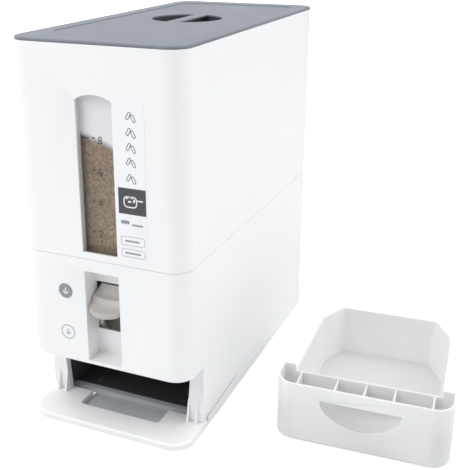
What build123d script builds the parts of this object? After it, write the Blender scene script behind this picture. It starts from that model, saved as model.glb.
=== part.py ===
"""Household rice dispenser with a lift-off tank, a push lever and a drawer.

Millimetres, +Z up. The origin is the middle of the dispenser's footprint on the table,
-Y is the front. The drawer stands taken out, beside the dispenser on the same table.
"""
from build123d import *
import math
import os

os.makedirs("parts", exist_ok=True)

# ---------------------------------------------------------------- driving sizes
BODY_W = 190.0            # casing, left to right
BODY_D = 400.0            # casing, front to back
CORNER_R = 22.0           # casing's upright corners
SHELL_T = 2.5             # moulded wall of both casings
SEAM_Z = 198.0            # joint line between stand and tank
LID_TOP_Z = 418.0
LID_T = 3.0
SEAT_GAP = 0.3            # gap where a loose piece sits on its seat
FIT = 0.3                 # gap between a fixed piece and its pocket

PLATE_T = 7.5             # front foot plate
PLATE_REACH = 8.5         # foot plate in front of the casing
SKIRT_OUT = 1.2           # skirt beyond the casing's side
SKIRT_T = 2.2
SKIRT_H = 14.0            # skirt along the sides and back
SKIRT_RISE = 150.0        # behind the front face, where the skirt reaches its height
PLATE_EDGE_R = 2.5        # rounded upper edge of the foot plate
NOTCH_W = 98.0
NOTCH_FRONT = 22.0        # behind the casing's front face
NOTCH_CORNER_R = 4.0
FRAME_T = 2.2             # walls of the hollow foot plate

OVERHANG = 41.0           # front of the casing that stands over the drawer front
BAY_TOP_Z = 77.0          # lower edge of the overhanging front
BAY_SIDE = 15.0           # bay's upper edge in from the casing's side
BAY_LEAN = 5.0            # bay's narrower at the foot plate by this, each side
GUSSET_H = 27.0
GUSSET_L = 6.5
GUSSET_T = 2.4
GUSSET_EDGE = 2.5         # first gusset outside the bay's edge
GUSSET_STEP = 10.0

PAN_T = 2.0
TONGUE_T = 1.5
DECK_Z = 6.0              # sliding floor inside the bay
DECK_FRONT = 57.0         # step of the floor, behind the casing's front face
PAN_RIB_T = 2.0
PAN_RIB_X = 60.0          # outer lengthwise ribs
PAN_RIB_PITCH = 70.0      # crosswise ribs
PAN_BOSS_R = 9.0
RAIL_W = 8.0              # drawer rails
RAIL_X = 54.0
RAIL_INSET = 16.0         # behind the deck's step
POST_D = 8.0              # corner posts, front to back
POST_RISE = 6.0           # posts above the bay's upper edge
LINER_T = 2.0
LINER_HEAD = 1.0          # liner's ceiling above the bay's upper edge
BAY_SPARE = 11.5          # free behind the pushed-in tray

RECESS_HALF = 19.9        # lever recess
RECESS_TOP_Z = 184.5
RECESS_LOW_Z = 81.0
RECESS_DEPTH = 22.0
RECESS_T = 2.0            # its walls
SLOT_LOW_Z = 109.0
SLOT_TOP_Z = 164.5

DRUM_SETBACK = 66.0       # rotor axis behind the casing's front face
DRUM_Z = 122.0
DRUM_R = 36.0
DRUM_HALF = 40.0          # half the measuring chamber's length
DISC_T = 2.5
DISC_GAP = 0.6            # running gap at the rotor's ends
BLADE_T = 2.0
HUB_R = 7.0
SHAFT_R = 3.0
SHAFT_FIT = 0.05          # radial running clearance of the shaft
BUSH_T = 2.0
DRUM_FIT = 0.8            # radial gap between rotor and housing
HOUSING_T = 3.3
HOUSING_FOOT_HALF = 26.0  # housing's saddle, front and back of the axis
FOOT_BACK = 44.0          # its flange behind the axis
FOOT_T = 3.0
SADDLE_DROP = 28.0        # saddle's upper face below the axis
CHIMNEY_DROP = 30.0       # inlet neck's root above the axis
NECK_T = 2.0              # walls round the inlet
GASKET_T = 2.0
LEVER_WINDOW = 3.0        # housing's window narrower than the recess, each side
WINDOW_BELOW = 24.0       # that window's lower edge below the axis
LEVER_SWING = 26.0        # degrees from rest to fully pressed
PORT_ARC = 22.0           # inlet and outlet ports, degrees
PORT_LAP = 1.0            # blade covers each side of its port by this, degrees
WALL_LAG = 5.0            # chamber walls beyond the ports, degrees
WALL_SHY = 0.4            # chamber walls inside the rotor's radius
INLET_MID = 83.0          # port centres, degrees from +Y towards +Z
OUTLET_MID = 270.0
CAP_SCREW_R = 1.2
CAP_SCREW_ANGLES = (35, 120, 215, 325)
SCREW_HEAD_T = 1.6

SPRING_R = 3.6            # lever return spring
SPRING_WIRE_R = 0.45
SPRING_TURNS = 9
SPRING_SEAT_H = 8.0
SPRING_FIT = 0.1
CRANK_L = 20.0
CRANK_T = 4.0
CRANK_W = 8.0
CRANK_OFF = 6.0           # crank's middle outside the housing
SEAT_HALF = 6.0           # spring seat, half its depth
BOSS_HALF = 12.0          # rotor boss that carries the lever
BOSS_REACH = 27.0
BOSS_TOP = 10.0
BOSS_LOW = 4.0
ARM_HALF = 14.0           # lever's arm
ARM_BITE = 9.0            # screws reach into the arm
# lever arm's side view, forward and up from the rotor's axis
ARM_OUTLINE = [(-20.0, 16.0), (-29.5, 26.5), (-38.5, 38.5), (-43.0, 40.5), (-47.0, 34.0), (-54.0, 28.5),
               (-60.0, 26.5), (-60.0, 16.0), (-44.0, 8.0), (-27.0, 4.5)]
PADDLE_SCOOP = [(-80.0, 11.0), (-68.0, 16.0), (-56.0, 13.5), (-46.0, 11.0)]
PADDLE_FIT = 0.8          # paddle's side gap in its recess
PADDLE_R = 36.5           # paddle's round front
PADDLE_MID = 35.0         # centre of that round in front of the axis
PADDLE_BACK = 45.5        # paddle's rear edge in front of the axis
PADDLE_REACH = 78.5
PADDLE_TOP = 26.0         # above the axis
PADDLE_LOW = 12.0
PADDLE_LIP_R = 3.0
SCREW_R = 1.1
SCREW_FIT = 0.05
SCREW_X = 6.5
SCREW_EDGE = 3.5          # screws in from the boss's front

WINDOW_HALF = 20.0
WINDOW_LOW_Z = 206.0
WINDOW_SIDE_Z = 362.5     # where the arch of the top edge begins
WINDOW_RISE = 5.5         # height of that arch
WINDOW_DEPTH = 9.0        # pane behind the casing's front face
CHANNEL_T = 1.6           # channel round the window
CHANNEL_LIP = 1.0         # channel's wall stands back from the casing's edge
CHANNEL_SILL = 5.0
PANE_T = 1.5
MARK_STEP = 32.6          # height between two scale dots
MARK_FIRST_Z = 226.0
MARK_FIRST_X = -11.0
MARK_LEAN = 1.45          # each dot right of the one below
MARK_COUNT = 4
MARK_R = 1.1

HOPPER_T = 2.0
OUTLET_Z = 166.5
OUTLET_LIP = 2.0          # straight neck above the outlet
HOPPER_KNEE = 30.0        # floor's bend over the lever recess
HOPPER_KNEE_UP = 6.0
HOPPER_FRONT_RISE = 3.0   # sloping floor above the seam at the front
HOPPER_BACK_Z = 262.0     # sloping floor at the back wall
HOPPER_RIM = 8.0
RICE_Z = 321.0            # stored rice where it meets the window
RICE_HEAP = 14.0          # heap in the middle
RICE_BACK = 6.0
RICE_LEAN = 13.0          # higher at the left, lower at the right

GRIP_R = 41.0             # round finger well in the lid
GRIP_Y = 12.0
GRIP_BAR = 15.0
GRIP_DEPTH = 22.0
GRIP_LIP = 0.6
CUP_T = 2.0
LID_EDGE_R = 1.6
LID_PANEL_INSET = 19.3
LID_PANEL_END = 36.5      # panel's ends from the lid's front and back, on average
LID_PANEL_SHIFT = 8.0
LID_PANEL_R = 16.0
LID_PANEL_SINK = 0.8
LID_SKIRT_H = 10.0
LID_SKIRT_T = 2.0
LID_SKIRT_FIT = 0.8
SEAL_TOP = 3.5            # seal's groove below the lid's seat
SEAL_H = 3.0
SEAL_T = 1.5

BADGE_R = 8.3
BADGE_LINE = 0.7
BADGE_X = -44.0
MEASURE_BADGE_Z = 158.0
RELEASE_BADGE_Z = 110.0
PRINT_T = 0.25
LABEL_GAP = 2.5           # label beside the window
LABEL_W = 32.0
LABEL_INSET = 2.0         # label's ends inside the window's

DRAWER_SIDE = 4.0         # drawer front in from the casing's side
DRAWER_H = 68.0
DRAWER_CORNER_R = 20.0
DRAWER_FOOT_R = 3.0
DRAWER_T = 2.2
FOOT_FLOOR = 3.2          # floor of the wrapped front
FRONT_GAP = 0.5           # drawer front before the bay's posts
TRAY_FIT = 1.0            # tray's rim in the bay, each side
TRAY_FLOOR_FIT = 1.5
TRAY_TAPER = 2.0          # narrower at the back, each side
TRAY_LENGTH = 208.0       # front face to back rim
TRAY_RIM_Z = 60.4
TRAY_CUT_X = 19.0         # slanted back corners
TRAY_CUT_Y = 38.0
TRAY_BACK_DRAFT = 4.0
TRAY_CORNER_R = 9.0
POCKET_HALF = 42.0        # half-moon finger pull
POCKET_H = 27.0
POCKET_TOP_Z = 52.5
POCKET_DEPTH = 19.0
POCKET_T = 2.0
RIB_PITCH = 30.5
RIB_T = 2.0
RIB_DROP = 2.0            # ribs below the tray's rim
PARTITION_IN = 9.0        # outer partitions in from the tray's rim
WING_SHELF = 30.0         # wings' shelf below the drawer front's top
SIGHT_IN = 1.5            # gap in the front's rear wall, in from the tray's rim
DRAWER_AWAY = 71.9        # taken-out drawer beside the casing
DRAWER_BACK = 66.8        # and behind the casing's front face
DRAWER_TURN = 3.5         # degrees

# ---------------------------------------------------------------- derived places
BIG = 3 * BODY_D          # longer than anything, for cuts
FRONT_Y = -BODY_D / 2
BACK_Y = BODY_D / 2
HALF_W = BODY_W / 2
INNER_HALF = HALF_W - SHELL_T
LID_SEAT_Z = LID_TOP_Z - LID_T
POST_Y = FRONT_Y + OVERHANG
PLATE_BACK_Y = POST_Y + POST_D
STEP_Y = FRONT_Y + DECK_FRONT
NOTCH_Y = FRONT_Y + NOTCH_FRONT
BAY_HALF_TOP = HALF_W - BAY_SIDE
BAY_HALF_LOW = BAY_HALF_TOP - BAY_LEAN
RECESS_BACK_Y = FRONT_Y + RECESS_DEPTH
LINER_TOP_Z = BAY_TOP_Z + LINER_HEAD
LINER_BACK_Y = FRONT_Y + FRONT_GAP + TRAY_LENGTH + BAY_SPARE + LINER_T
FOOT_Z = LINER_TOP_Z + LINER_T
DRUM_Y = FRONT_Y + DRUM_SETBACK
HOUSING_BORE_R = DRUM_R + DRUM_FIT
HOUSING_R = HOUSING_BORE_R + HOUSING_T
HOUSING_END = DRUM_HALF + DISC_T + DISC_GAP
HOUSING_OUT = HOUSING_END + HOUSING_T
CRANK_X = -(HOUSING_OUT + CRANK_OFF)
NECK_TOP_Z = OUTLET_Z - HOPPER_T - GASKET_T
BLADE_ARC = PORT_ARC + 2 * PORT_LAP
WINDOW_TOP_Z = WINDOW_SIDE_Z + WINDOW_RISE
PANE_Y = FRONT_Y + WINDOW_DEPTH
PANE_HALF = WINDOW_HALF + CHANNEL_T + CHANNEL_LIP
DRAWER_W = BODY_W - 2 * DRAWER_SIDE
DRAWER_FRONT_D = OVERHANG - FRONT_GAP
TRAY_RIM_HALF = BAY_HALF_TOP - TRAY_FIT
TRAY_FLOOR_HALF = BAY_HALF_LOW - TRAY_FLOOR_FIT
PARTITION_X = TRAY_RIM_HALF - PARTITION_IN
DRAWER_X = HALF_W + DRAWER_W / 2 + DRAWER_AWAY
DRAWER_Y = FRONT_Y + DRAWER_BACK


def rounded_box(width, depth, low, high, radius, back_shift=0.0):
    """Upright box with rounded vertical corners, centred on the casing."""
    plan = RectangleRounded(width, depth, radius)
    return extrude(Location((0, back_shift, low)) * plan, high - low)


def block(x0, x1, y0, y1, z0, z1):
    """Plain box from its limits."""
    size = Box(x1 - x0, y1 - y0, z1 - z0)
    return Pos((x0 + x1) / 2, (y0 + y1) / 2, (z0 + z1) / 2) * size


def prism_x(points, half):
    """Side-view outline (y, z) extruded to both sides of the middle."""
    face = make_face(Plane.YZ * Polyline(*points, close=True))
    return extrude(face, half, both=True)


def front_plane(y):
    """Upright plane facing the front."""
    return Plane(origin=(0, y, 0), x_dir=(1, 0, 0), z_dir=(0, -1, 0))


def prism_y(points, y0, y1):
    """Front-view outline (x, z) extruded from y0 to y1."""
    return extrude(make_face(front_plane(y0) * Polyline(*points, close=True)), y0 - y1)


def rod_x(radius, x0, x1, y=DRUM_Y, z=DRUM_Z):
    """Round bar along X."""
    return Pos((x0 + x1) / 2, y, z) * Rot(0, 90, 0) * Cylinder(radius, x1 - x0)


def sector_x(r_out, r_in, start, arc, half):
    """Curved blade about the rotor axis, angles from +Y towards +Z."""
    reach = 2 * r_out
    angles = [math.radians(a) for a in (start, start + arc / 2, start + arc)]
    rays = [(DRUM_Y + reach * math.cos(a), DRUM_Z + reach * math.sin(a)) for a in angles]
    wedge = prism_x([(DRUM_Y, DRUM_Z)] + rays, half)
    ring = rod_x(r_out, -half, half) - rod_x(r_in, -half, half)
    return ring & wedge


def save(name, shape):
    """Write one piece; a group of solids is saved as one compound."""
    solids = shape.solids()
    whole = solids[0] if len(solids) == 1 else Compound(children=list(solids))
    whole.label = name
    export_step(whole, f"parts/{name}.step")
    print(f"{name}: {len(solids)} solid(s)")


# ---------------------------------------------------------------- stand
def skirt_outline(grow, low, high):
    """Solid whose side is the outside of the casing's skirt, grown by a gap."""
    width = BODY_W + 2 * (SKIRT_OUT + grow)
    depth = BODY_D + PLATE_REACH + SKIRT_OUT + 2 * grow
    shift = (SKIRT_OUT - PLATE_REACH) / 2
    return rounded_box(width, depth, low, high, CORNER_R + SKIRT_OUT + grow, shift)


def skirt_inside(gap, low, high):
    """Solid that fills the skirt, made smaller by a gap."""
    inward = SKIRT_T - SKIRT_OUT + gap
    return rounded_box(BODY_W - 2 * inward, BODY_D - 2 * inward, low, high, CORNER_R - inward)


def make_base_frame():
    """White foot plate with its notch, the skirt and the four gussets."""
    rise_end = FRONT_Y + SKIRT_RISE
    band = skirt_outline(0, 0, SKIRT_H) & block(-BIG, BIG, PLATE_BACK_Y, BIG, 0, SKIRT_H)
    band -= skirt_inside(0, -1, SKIRT_H + 1)
    slope = [(-BIG, PLATE_T), (PLATE_BACK_Y, PLATE_T), (rise_end, SKIRT_H),
             (BIG, SKIRT_H), (BIG, BIG), (-BIG, BIG)]
    band -= prism_x(slope, BIG)
    plate = skirt_outline(0, 0, PLATE_T)
    plate = fillet(plate.faces().sort_by(Axis.Z)[-1].edges(), PLATE_EDGE_R)
    plate &= block(-BIG, BIG, -BIG, PLATE_BACK_Y, 0, PLATE_T)
    under = skirt_outline(-FRAME_T, -1, PLATE_T - FRAME_T)
    under &= block(-BIG, BIG, -BIG, PLATE_BACK_Y - FRAME_T, -1, PLATE_T)
    notch_wall = NOTCH_W / 2 + FRAME_T
    under -= block(-notch_wall, notch_wall, NOTCH_Y - FRAME_T, BIG, -1, PLATE_T)
    frame = plate + band - under
    notch = block(-NOTCH_W / 2, NOTCH_W / 2, NOTCH_Y, 0, -1, PLATE_T + 1)
    corners = notch.edges().filter_by(Axis.Z).sort_by(Axis.Y)[:2]
    frame -= fillet(corners, NOTCH_CORNER_R)
    root_z = PLATE_T - FRAME_T / 4
    gusset = [(POST_Y - GUSSET_L, root_z), (POST_Y, root_z), (POST_Y, PLATE_T + GUSSET_H)]
    for side in (-1, 1):
        for offset in (GUSSET_EDGE, GUSSET_EDGE + GUSSET_STEP):
            x = side * (BAY_HALF_LOW + offset)
            frame += Pos(x, 0, 0) * prism_x(gusset, GUSSET_T / 2)
    return frame


def make_stand_shell():
    """White lower casing: overhanging front, corner posts and lever recess."""
    shell = rounded_box(BODY_W, BODY_D, DECK_Z, SEAM_Z, CORNER_R)
    shell -= tank_hollow(-1, SEAM_Z + 1)
    inside = tank_hollow(0, SEAM_Z, -SHELL_T / 2)
    post_top = BAY_TOP_Z + POST_RISE
    for x0, x1 in ((BAY_HALF_LOW, HALF_W), (-HALF_W, -BAY_HALF_LOW)):
        shell += block(x0, x1, POST_Y, PLATE_BACK_Y, DECK_Z, post_top) & inside
    web = block(-HALF_W, HALF_W, FRONT_Y, PLATE_BACK_Y, BAY_TOP_Z, BAY_TOP_Z + SHELL_T)
    shell += web & inside
    shell -= block(-BIG, BIG, -BIG, POST_Y, 0, BAY_TOP_Z)
    bay = [(-BAY_HALF_LOW, 0), (BAY_HALF_LOW, 0), (BAY_HALF_LOW, PLATE_T),
           (BAY_HALF_TOP, BAY_TOP_Z), (-BAY_HALF_TOP, BAY_TOP_Z), (-BAY_HALF_LOW, PLATE_T)]
    shell -= prism_y(bay, FRONT_Y - 1, PLATE_BACK_Y + 1)
    pocket_half = RECESS_HALF + RECESS_T
    shell += block(-pocket_half, pocket_half, FRONT_Y + SHELL_T / 2, RECESS_BACK_Y + RECESS_T,
                   RECESS_LOW_Z - RECESS_T, RECESS_TOP_Z + RECESS_T)
    shell -= block(-RECESS_HALF, RECESS_HALF, FRONT_Y - 1, RECESS_BACK_Y,
                   RECESS_LOW_Z, RECESS_TOP_Z)
    shell -= block(-RECESS_HALF, RECESS_HALF, RECESS_BACK_Y - 1, RECESS_BACK_Y + RECESS_T + 1,
                   SLOT_LOW_Z, SLOT_TOP_Z)
    shell -= skirt_outline(FIT, -1, SKIRT_H) - skirt_inside(FIT, -1, SKIRT_H + 1)
    return shell - block(-BIG, BIG, -BIG, PLATE_BACK_Y, 0, PLATE_T)


def make_bottom_pan():
    """Grey bottom: low tongue under the notch, raised sliding deck, ribs to the table."""
    room = block(-BIG, BIG, STEP_Y, BIG, -1, DECK_Z)
    pan = skirt_inside(FIT, 0, DECK_Z) & room
    hollow = block(-BIG, BIG, STEP_Y + PAN_T, BIG, -1, DECK_Z)
    pan -= skirt_inside(FIT + PAN_T, -1, DECK_Z - PAN_T) & hollow
    tongue_half = NOTCH_W / 2 - FIT
    tongue = block(-tongue_half, tongue_half, NOTCH_Y + FIT, STEP_Y + PAN_T, 0, TONGUE_T)
    pan += fillet(tongue.edges().filter_by(Axis.Z).sort_by(Axis.Y)[:2], NOTCH_CORNER_R)
    within = skirt_inside(FIT + PAN_T / 2, 0, DECK_Z - PAN_T / 2)
    within &= block(-BIG, BIG, STEP_Y + PAN_T / 2, BIG, -1, DECK_Z)
    half_rib = PAN_RIB_T / 2
    for x in (-PAN_RIB_X, 0, PAN_RIB_X):
        pan += block(x - half_rib, x + half_rib, -BIG, BIG, 0, DECK_Z) & within
    for k in range(-1, 3):
        y = k * PAN_RIB_PITCH
        pan += block(-BIG, BIG, y - half_rib, y + half_rib, 0, DECK_Z) & within
    return pan + (Pos(0, 0, DECK_Z / 2) * Cylinder(PAN_BOSS_R, DECK_Z) & within)


def make_drawer_rails():
    """Two low rails on the deck that the drawer slides on."""
    y0 = STEP_Y + RAIL_INSET
    y1 = LINER_BACK_Y - LINER_T - BAY_SPARE
    rails = []
    for x in (-RAIL_X, RAIL_X):
        rails.append(block(x - RAIL_W / 2, x + RAIL_W / 2, y0, y1, DECK_Z, PLATE_T))
    return Compound(children=rails)


def make_bay_liner():
    """Dark inner tunnel of the drawer bay with the rice outlet in its ceiling."""
    front = PLATE_BACK_Y + FIT
    half = BAY_HALF_TOP
    outer = block(-half - LINER_T, half + LINER_T, front, LINER_BACK_Y, DECK_Z, FOOT_Z)
    inner = block(-half, half, front - 1, LINER_BACK_Y - LINER_T, DECK_Z - 1, LINER_TOP_Z)
    return outer - inner - outlet_passage()


def outlet_passage():
    """Straight way from the rotor down into the bay."""
    reach = DRUM_R * math.sin(math.radians(PORT_ARC / 2))
    return block(-DRUM_HALF, DRUM_HALF, DRUM_Y - reach, DRUM_Y + reach,
                 LINER_TOP_Z - 1, DRUM_Z - DRUM_R / 2)


def inlet_y(side):
    """Y of the inlet port's two edges on the rotor's surface: 0 is the back one."""
    angle = math.radians(INLET_MID + (side - 0.5) * PORT_ARC)
    return DRUM_Y + DRUM_R * math.cos(angle)


def make_meter_housing():
    """Fixed body of the measuring unit, open towards its cap on the right."""
    saddle_z = DRUM_Z - SADDLE_DROP
    body = rod_x(HOUSING_R, -HOUSING_OUT, HOUSING_END)
    body += block(-HOUSING_OUT, HOUSING_END, DRUM_Y - HOUSING_FOOT_HALF,
                  DRUM_Y + HOUSING_FOOT_HALF, FOOT_Z, saddle_z)
    body += block(-HOUSING_OUT, HOUSING_END, RECESS_BACK_Y + RECESS_T + FIT,
                  DRUM_Y + FOOT_BACK, FOOT_Z, FOOT_Z + FOOT_T)
    body += block(-HOUSING_OUT, HOUSING_END, inlet_y(1) - NECK_T, inlet_y(0) + NECK_T,
                  DRUM_Z + CHIMNEY_DROP, NECK_TOP_Z)
    body -= rod_x(HOUSING_BORE_R, -HOUSING_END, HOUSING_END + 1)
    body -= sector_x(HOUSING_R + HOUSING_T * 4, HUB_R, INLET_MID - PORT_ARC / 2, PORT_ARC, DRUM_HALF)
    body -= outlet_passage()
    window = RECESS_HALF - LEVER_WINDOW
    body -= block(-window, window, DRUM_Y - HOUSING_R - 5, DRUM_Y - HOUSING_FOOT_HALF,
                  DRUM_Z - WINDOW_BELOW, DRUM_Z + HOUSING_R + 5)
    body -= rod_x(SHAFT_R + BUSH_T, -HOUSING_OUT - 1, -HOUSING_END + 1)
    seat_y = DRUM_Y - CRANK_L
    return body + block(-HOUSING_OUT - 2 * CRANK_OFF, -HOUSING_OUT + 1, seat_y - SEAT_HALF,
                        seat_y + SEAT_HALF, FOOT_Z, FOOT_Z + SPRING_SEAT_H)


def make_housing_cap():
    """Right end plate of the measuring unit."""
    cap = rod_x(HOUSING_R, HOUSING_END, HOUSING_OUT)
    cap += block(HOUSING_END, HOUSING_OUT, DRUM_Y - HOUSING_FOOT_HALF,
                 DRUM_Y + HOUSING_FOOT_HALF, FOOT_Z, DRUM_Z - SADDLE_DROP)
    cap -= rod_x(SHAFT_R + BUSH_T, HOUSING_END - 1, HOUSING_OUT + 1)
    for y, z in screw_spots():
        cap -= rod_x(CAP_SCREW_R + SCREW_FIT, HOUSING_END - 1, HOUSING_OUT + 1, y, z)
    return cap


def screw_spots():
    """Screws of the housing cap, on the housing's wall."""
    radius = HOUSING_R - HOUSING_T / 2
    angles = [math.radians(a) for a in CAP_SCREW_ANGLES]
    return [(DRUM_Y + radius * math.cos(a), DRUM_Z + radius * math.sin(a)) for a in angles]


def make_cap_screws():
    """Four small screws that hold the cap, heads outside."""
    screws = []
    for y, z in screw_spots():
        screw = rod_x(CAP_SCREW_R, HOUSING_END, HOUSING_OUT, y, z)
        screw += rod_x(2 * CAP_SCREW_R, HOUSING_OUT, HOUSING_OUT + SCREW_HEAD_T, y, z)
        screws.append(screw.solid())
    return Compound(children=screws)


def make_bushes():
    """Two plain bearing bushes for the rotor shaft."""
    bushes = []
    for x0 in (-HOUSING_OUT, HOUSING_END):
        bush = rod_x(SHAFT_R + BUSH_T, x0, x0 + HOUSING_T)
        bush -= rod_x(SHAFT_R + SHAFT_FIT, x0 - 1, x0 + HOUSING_T + 1)
        bushes.append(bush.solid())
    return Compound(children=bushes)


def make_inlet_gasket():
    """Soft ring between the tank's outlet and the measuring unit."""
    front, back = inlet_y(1), inlet_y(0)
    ring = block(-DRUM_HALF - DISC_T, DRUM_HALF + DISC_T, front - NECK_T, back + NECK_T,
                 NECK_TOP_Z, NECK_TOP_Z + GASKET_T - SEAT_GAP)
    return ring - block(-DRUM_HALF, DRUM_HALF, front, back, NECK_TOP_Z - 1, OUTLET_Z)


def make_return_spring():
    """Coil spring under the crank: one unbroken wire."""
    low = FOOT_Z + SPRING_SEAT_H + SPRING_WIRE_R + SPRING_FIT
    high = DRUM_Z - CRANK_T / 2 - SPRING_WIRE_R - 2 * SPRING_FIT
    pitch = (high - low) / SPRING_TURNS
    path = Helix(pitch, high - low, SPRING_R)
    start = Plane(origin=path @ 0, z_dir=path % 0)
    wire = sweep(start * Circle(SPRING_WIRE_R), path=path)
    print(f"return spring: gap between turns {pitch - 2 * SPRING_WIRE_R:.2f} mm")
    return Pos(CRANK_X, DRUM_Y - CRANK_L, low) * wire


def make_badge(z, filled):
    """Printed round sign on the casing's front: a disc or a ring."""
    turned = Rot(90, 0, 0)
    sign = turned * Cylinder(BADGE_R, PRINT_T)
    if not filled:
        sign -= turned * Cylinder(BADGE_R - BADGE_LINE, PRINT_T * 2)
    return Pos(BADGE_X, FRONT_Y - PRINT_T / 2, z) * sign


# ---------------------------------------------------------------- rotor and lever
def make_rotor():
    """Measuring rotor: two discs, hub, inlet and outlet blades and chamber walls."""
    grip = DRUM_HALF + DISC_T / 5
    rotor = rod_x(HUB_R, -grip, grip)
    for x0 in (-DRUM_HALF - DISC_T, DRUM_HALF):
        rotor += rod_x(DRUM_R, x0, x0 + DISC_T)
    upper_start = INLET_MID - BLADE_ARC / 2 - LEVER_SWING
    lower_start = OUTLET_MID - BLADE_ARC / 2
    for start in (upper_start, lower_start):
        rotor += sector_x(DRUM_R, DRUM_R - BLADE_T, start, BLADE_ARC, grip)
    wall = block(-grip, grip, DRUM_Y + HUB_R - 1, DRUM_Y + DRUM_R - WALL_SHY,
                 DRUM_Z - BLADE_T / 2, DRUM_Z + BLADE_T / 2)
    about = Axis((0, DRUM_Y, DRUM_Z), (1, 0, 0))
    front_wall_angle = INLET_MID + PORT_ARC / 2 + WALL_LAG
    back_wall_angle = OUTLET_MID - PORT_ARC / 2 - LEVER_SWING - WALL_LAG
    for angle in (front_wall_angle, back_wall_angle):
        rotor += wall.rotate(about, angle)
    rotor += block(-BOSS_HALF, BOSS_HALF, DRUM_Y - BOSS_REACH, DRUM_Y - HUB_R + 1,
                   DRUM_Z - BOSS_LOW, DRUM_Z + BOSS_TOP)
    rotor -= lever_screw_holes()
    return rotor - rod_x(SHAFT_R, -DRUM_HALF - DISC_T - 1, DRUM_HALF + DISC_T + 1)


def lever_screw_holes():
    """Two holes up through the boss into the lever."""
    low = DRUM_Z - BOSS_LOW - 1
    length = BOSS_TOP + BOSS_LOW + ARM_BITE - 2
    hole = Cylinder(SCREW_R + SCREW_FIT, length)
    y = DRUM_Y - BOSS_REACH + SCREW_EDGE
    return Pos(-SCREW_X, y, low + length / 2) * hole + Pos(SCREW_X, y, low + length / 2) * hole


def make_rotor_shaft():
    """Shaft with the crank that the return spring pushes."""
    shaft = rod_x(SHAFT_R, CRANK_X - CRANK_W / 2, HOUSING_OUT + SHAFT_R)
    shaft += block(CRANK_X - CRANK_W / 2, CRANK_X + CRANK_W / 2, DRUM_Y - CRANK_L - SEAT_HALF + 1,
                   DRUM_Y, DRUM_Z - CRANK_T / 2, DRUM_Z + CRANK_T / 2)
    return shaft + rod_x(SHAFT_R + BUSH_T, CRANK_X - CRANK_W / 2, CRANK_X + CRANK_W / 2)


def from_axis(points):
    """Side-view points given from the rotor's axis."""
    return [(DRUM_Y + y, DRUM_Z + z) for y, z in points]


def make_lever():
    """Push lever: narrow curved arm through the slot and a wide dished paddle."""
    paddle_half = RECESS_HALF - PADDLE_FIT
    root = [(-BOSS_REACH, BOSS_TOP), (ARM_OUTLINE[0][0], BOSS_TOP)]
    lever = prism_x(from_axis(ARM_OUTLINE + root), ARM_HALF) - lever_screw_holes()
    plan = Pos(0, DRUM_Y - PADDLE_MID) * Circle(PADDLE_R)
    middle = DRUM_Y - (PADDLE_BACK + PADDLE_REACH) / 2
    plan &= Pos(0, middle) * Rectangle(2 * paddle_half, PADDLE_REACH - PADDLE_BACK)
    paddle = Pos(0, 0, DRUM_Z + PADDLE_LOW) * extrude(plan, PADDLE_TOP - PADDLE_LOW)
    paddle -= prism_x(from_axis(PADDLE_SCOOP), BIG)
    tip = paddle.edges().filter_by(GeomType.CIRCLE).sort_by(Axis.Z)[-1]
    return lever + fillet(tip, PADDLE_LIP_R)


def make_lever_screws():
    """Two screws that hold the lever on the rotor's boss."""
    length = BOSS_TOP + BOSS_LOW + ARM_BITE - 4
    low = DRUM_Z - BOSS_LOW
    y = DRUM_Y - BOSS_REACH + SCREW_EDGE
    screws = []
    for x in (-SCREW_X, SCREW_X):
        shank = Pos(x, y, low + length / 2) * Cylinder(SCREW_R, length)
        head = Pos(x, y, low - SCREW_HEAD_T / 2) * Cylinder(2 * SCREW_R, SCREW_HEAD_T)
        screws.append((shank + head).solid())
    return Compound(children=screws)


# ---------------------------------------------------------------- tank
def tank_hollow(low, high, gap=0.0):
    """Inside of the casing, made smaller by a gap."""
    return rounded_box(2 * (INNER_HALF - gap), BODY_D - 2 * (SHELL_T + gap), low, high,
                       CORNER_R - SHELL_T - gap)


def make_tank_shell():
    """White upper casing with the window opening."""
    low = SEAM_Z + SEAT_GAP
    shell = rounded_box(BODY_W, BODY_D, low, LID_SEAT_Z - SEAT_GAP, CORNER_R)
    shell -= tank_hollow(low - 1, LID_SEAT_Z + 1)
    return shell - window_cut(0.0, FRONT_Y - 1, FRONT_Y + SHELL_T + 1)


def window_cut(grow, y0, y1, sill=0.0):
    """Tall window with a shallow arched top edge, grown by a margin."""
    half = WINDOW_HALF + grow
    side_z = WINDOW_SIDE_Z + grow
    low_z = WINDOW_LOW_Z - grow - sill
    sides = Polyline((-half, side_z), (-half, low_z), (half, low_z), (half, side_z))
    arch = ThreePointArc((half, side_z), (0, WINDOW_TOP_Z + grow), (-half, side_z))
    return extrude(make_face(front_plane(y0) * (sides + arch)), y0 - y1)


def make_window_frame():
    """Light channel from the casing's front wall back to the pane."""
    front = FRONT_Y + SHELL_T
    frame = window_cut(CHANNEL_LIP + CHANNEL_T, front, PANE_Y, CHANNEL_SILL)
    return frame - window_cut(CHANNEL_LIP, front - 1, PANE_Y + 1, CHANNEL_SILL)


def make_window_pane():
    """Clear pane behind the channel."""
    return window_cut(CHANNEL_LIP + CHANNEL_T, PANE_Y, PANE_Y + PANE_T, CHANNEL_SILL)


def make_scale_dots():
    """Printed dots of the level scale, on the pane."""
    dot = Rot(90, 0, 0) * Cylinder(MARK_R, PRINT_T)
    dots = []
    for k in range(MARK_COUNT):
        x = MARK_FIRST_X + k * MARK_LEAN
        dots.append(Pos(x, PANE_Y - PRINT_T / 2, MARK_FIRST_Z + k * MARK_STEP) * dot)
    return Compound(children=dots)


def make_label():
    """Bare printed label beside the window."""
    left = WINDOW_HALF + LABEL_GAP
    return block(left, left + LABEL_W, FRONT_Y - PRINT_T, FRONT_Y,
                 WINDOW_LOW_Z + LABEL_INSET, WINDOW_TOP_Z - LABEL_INSET)


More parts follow.
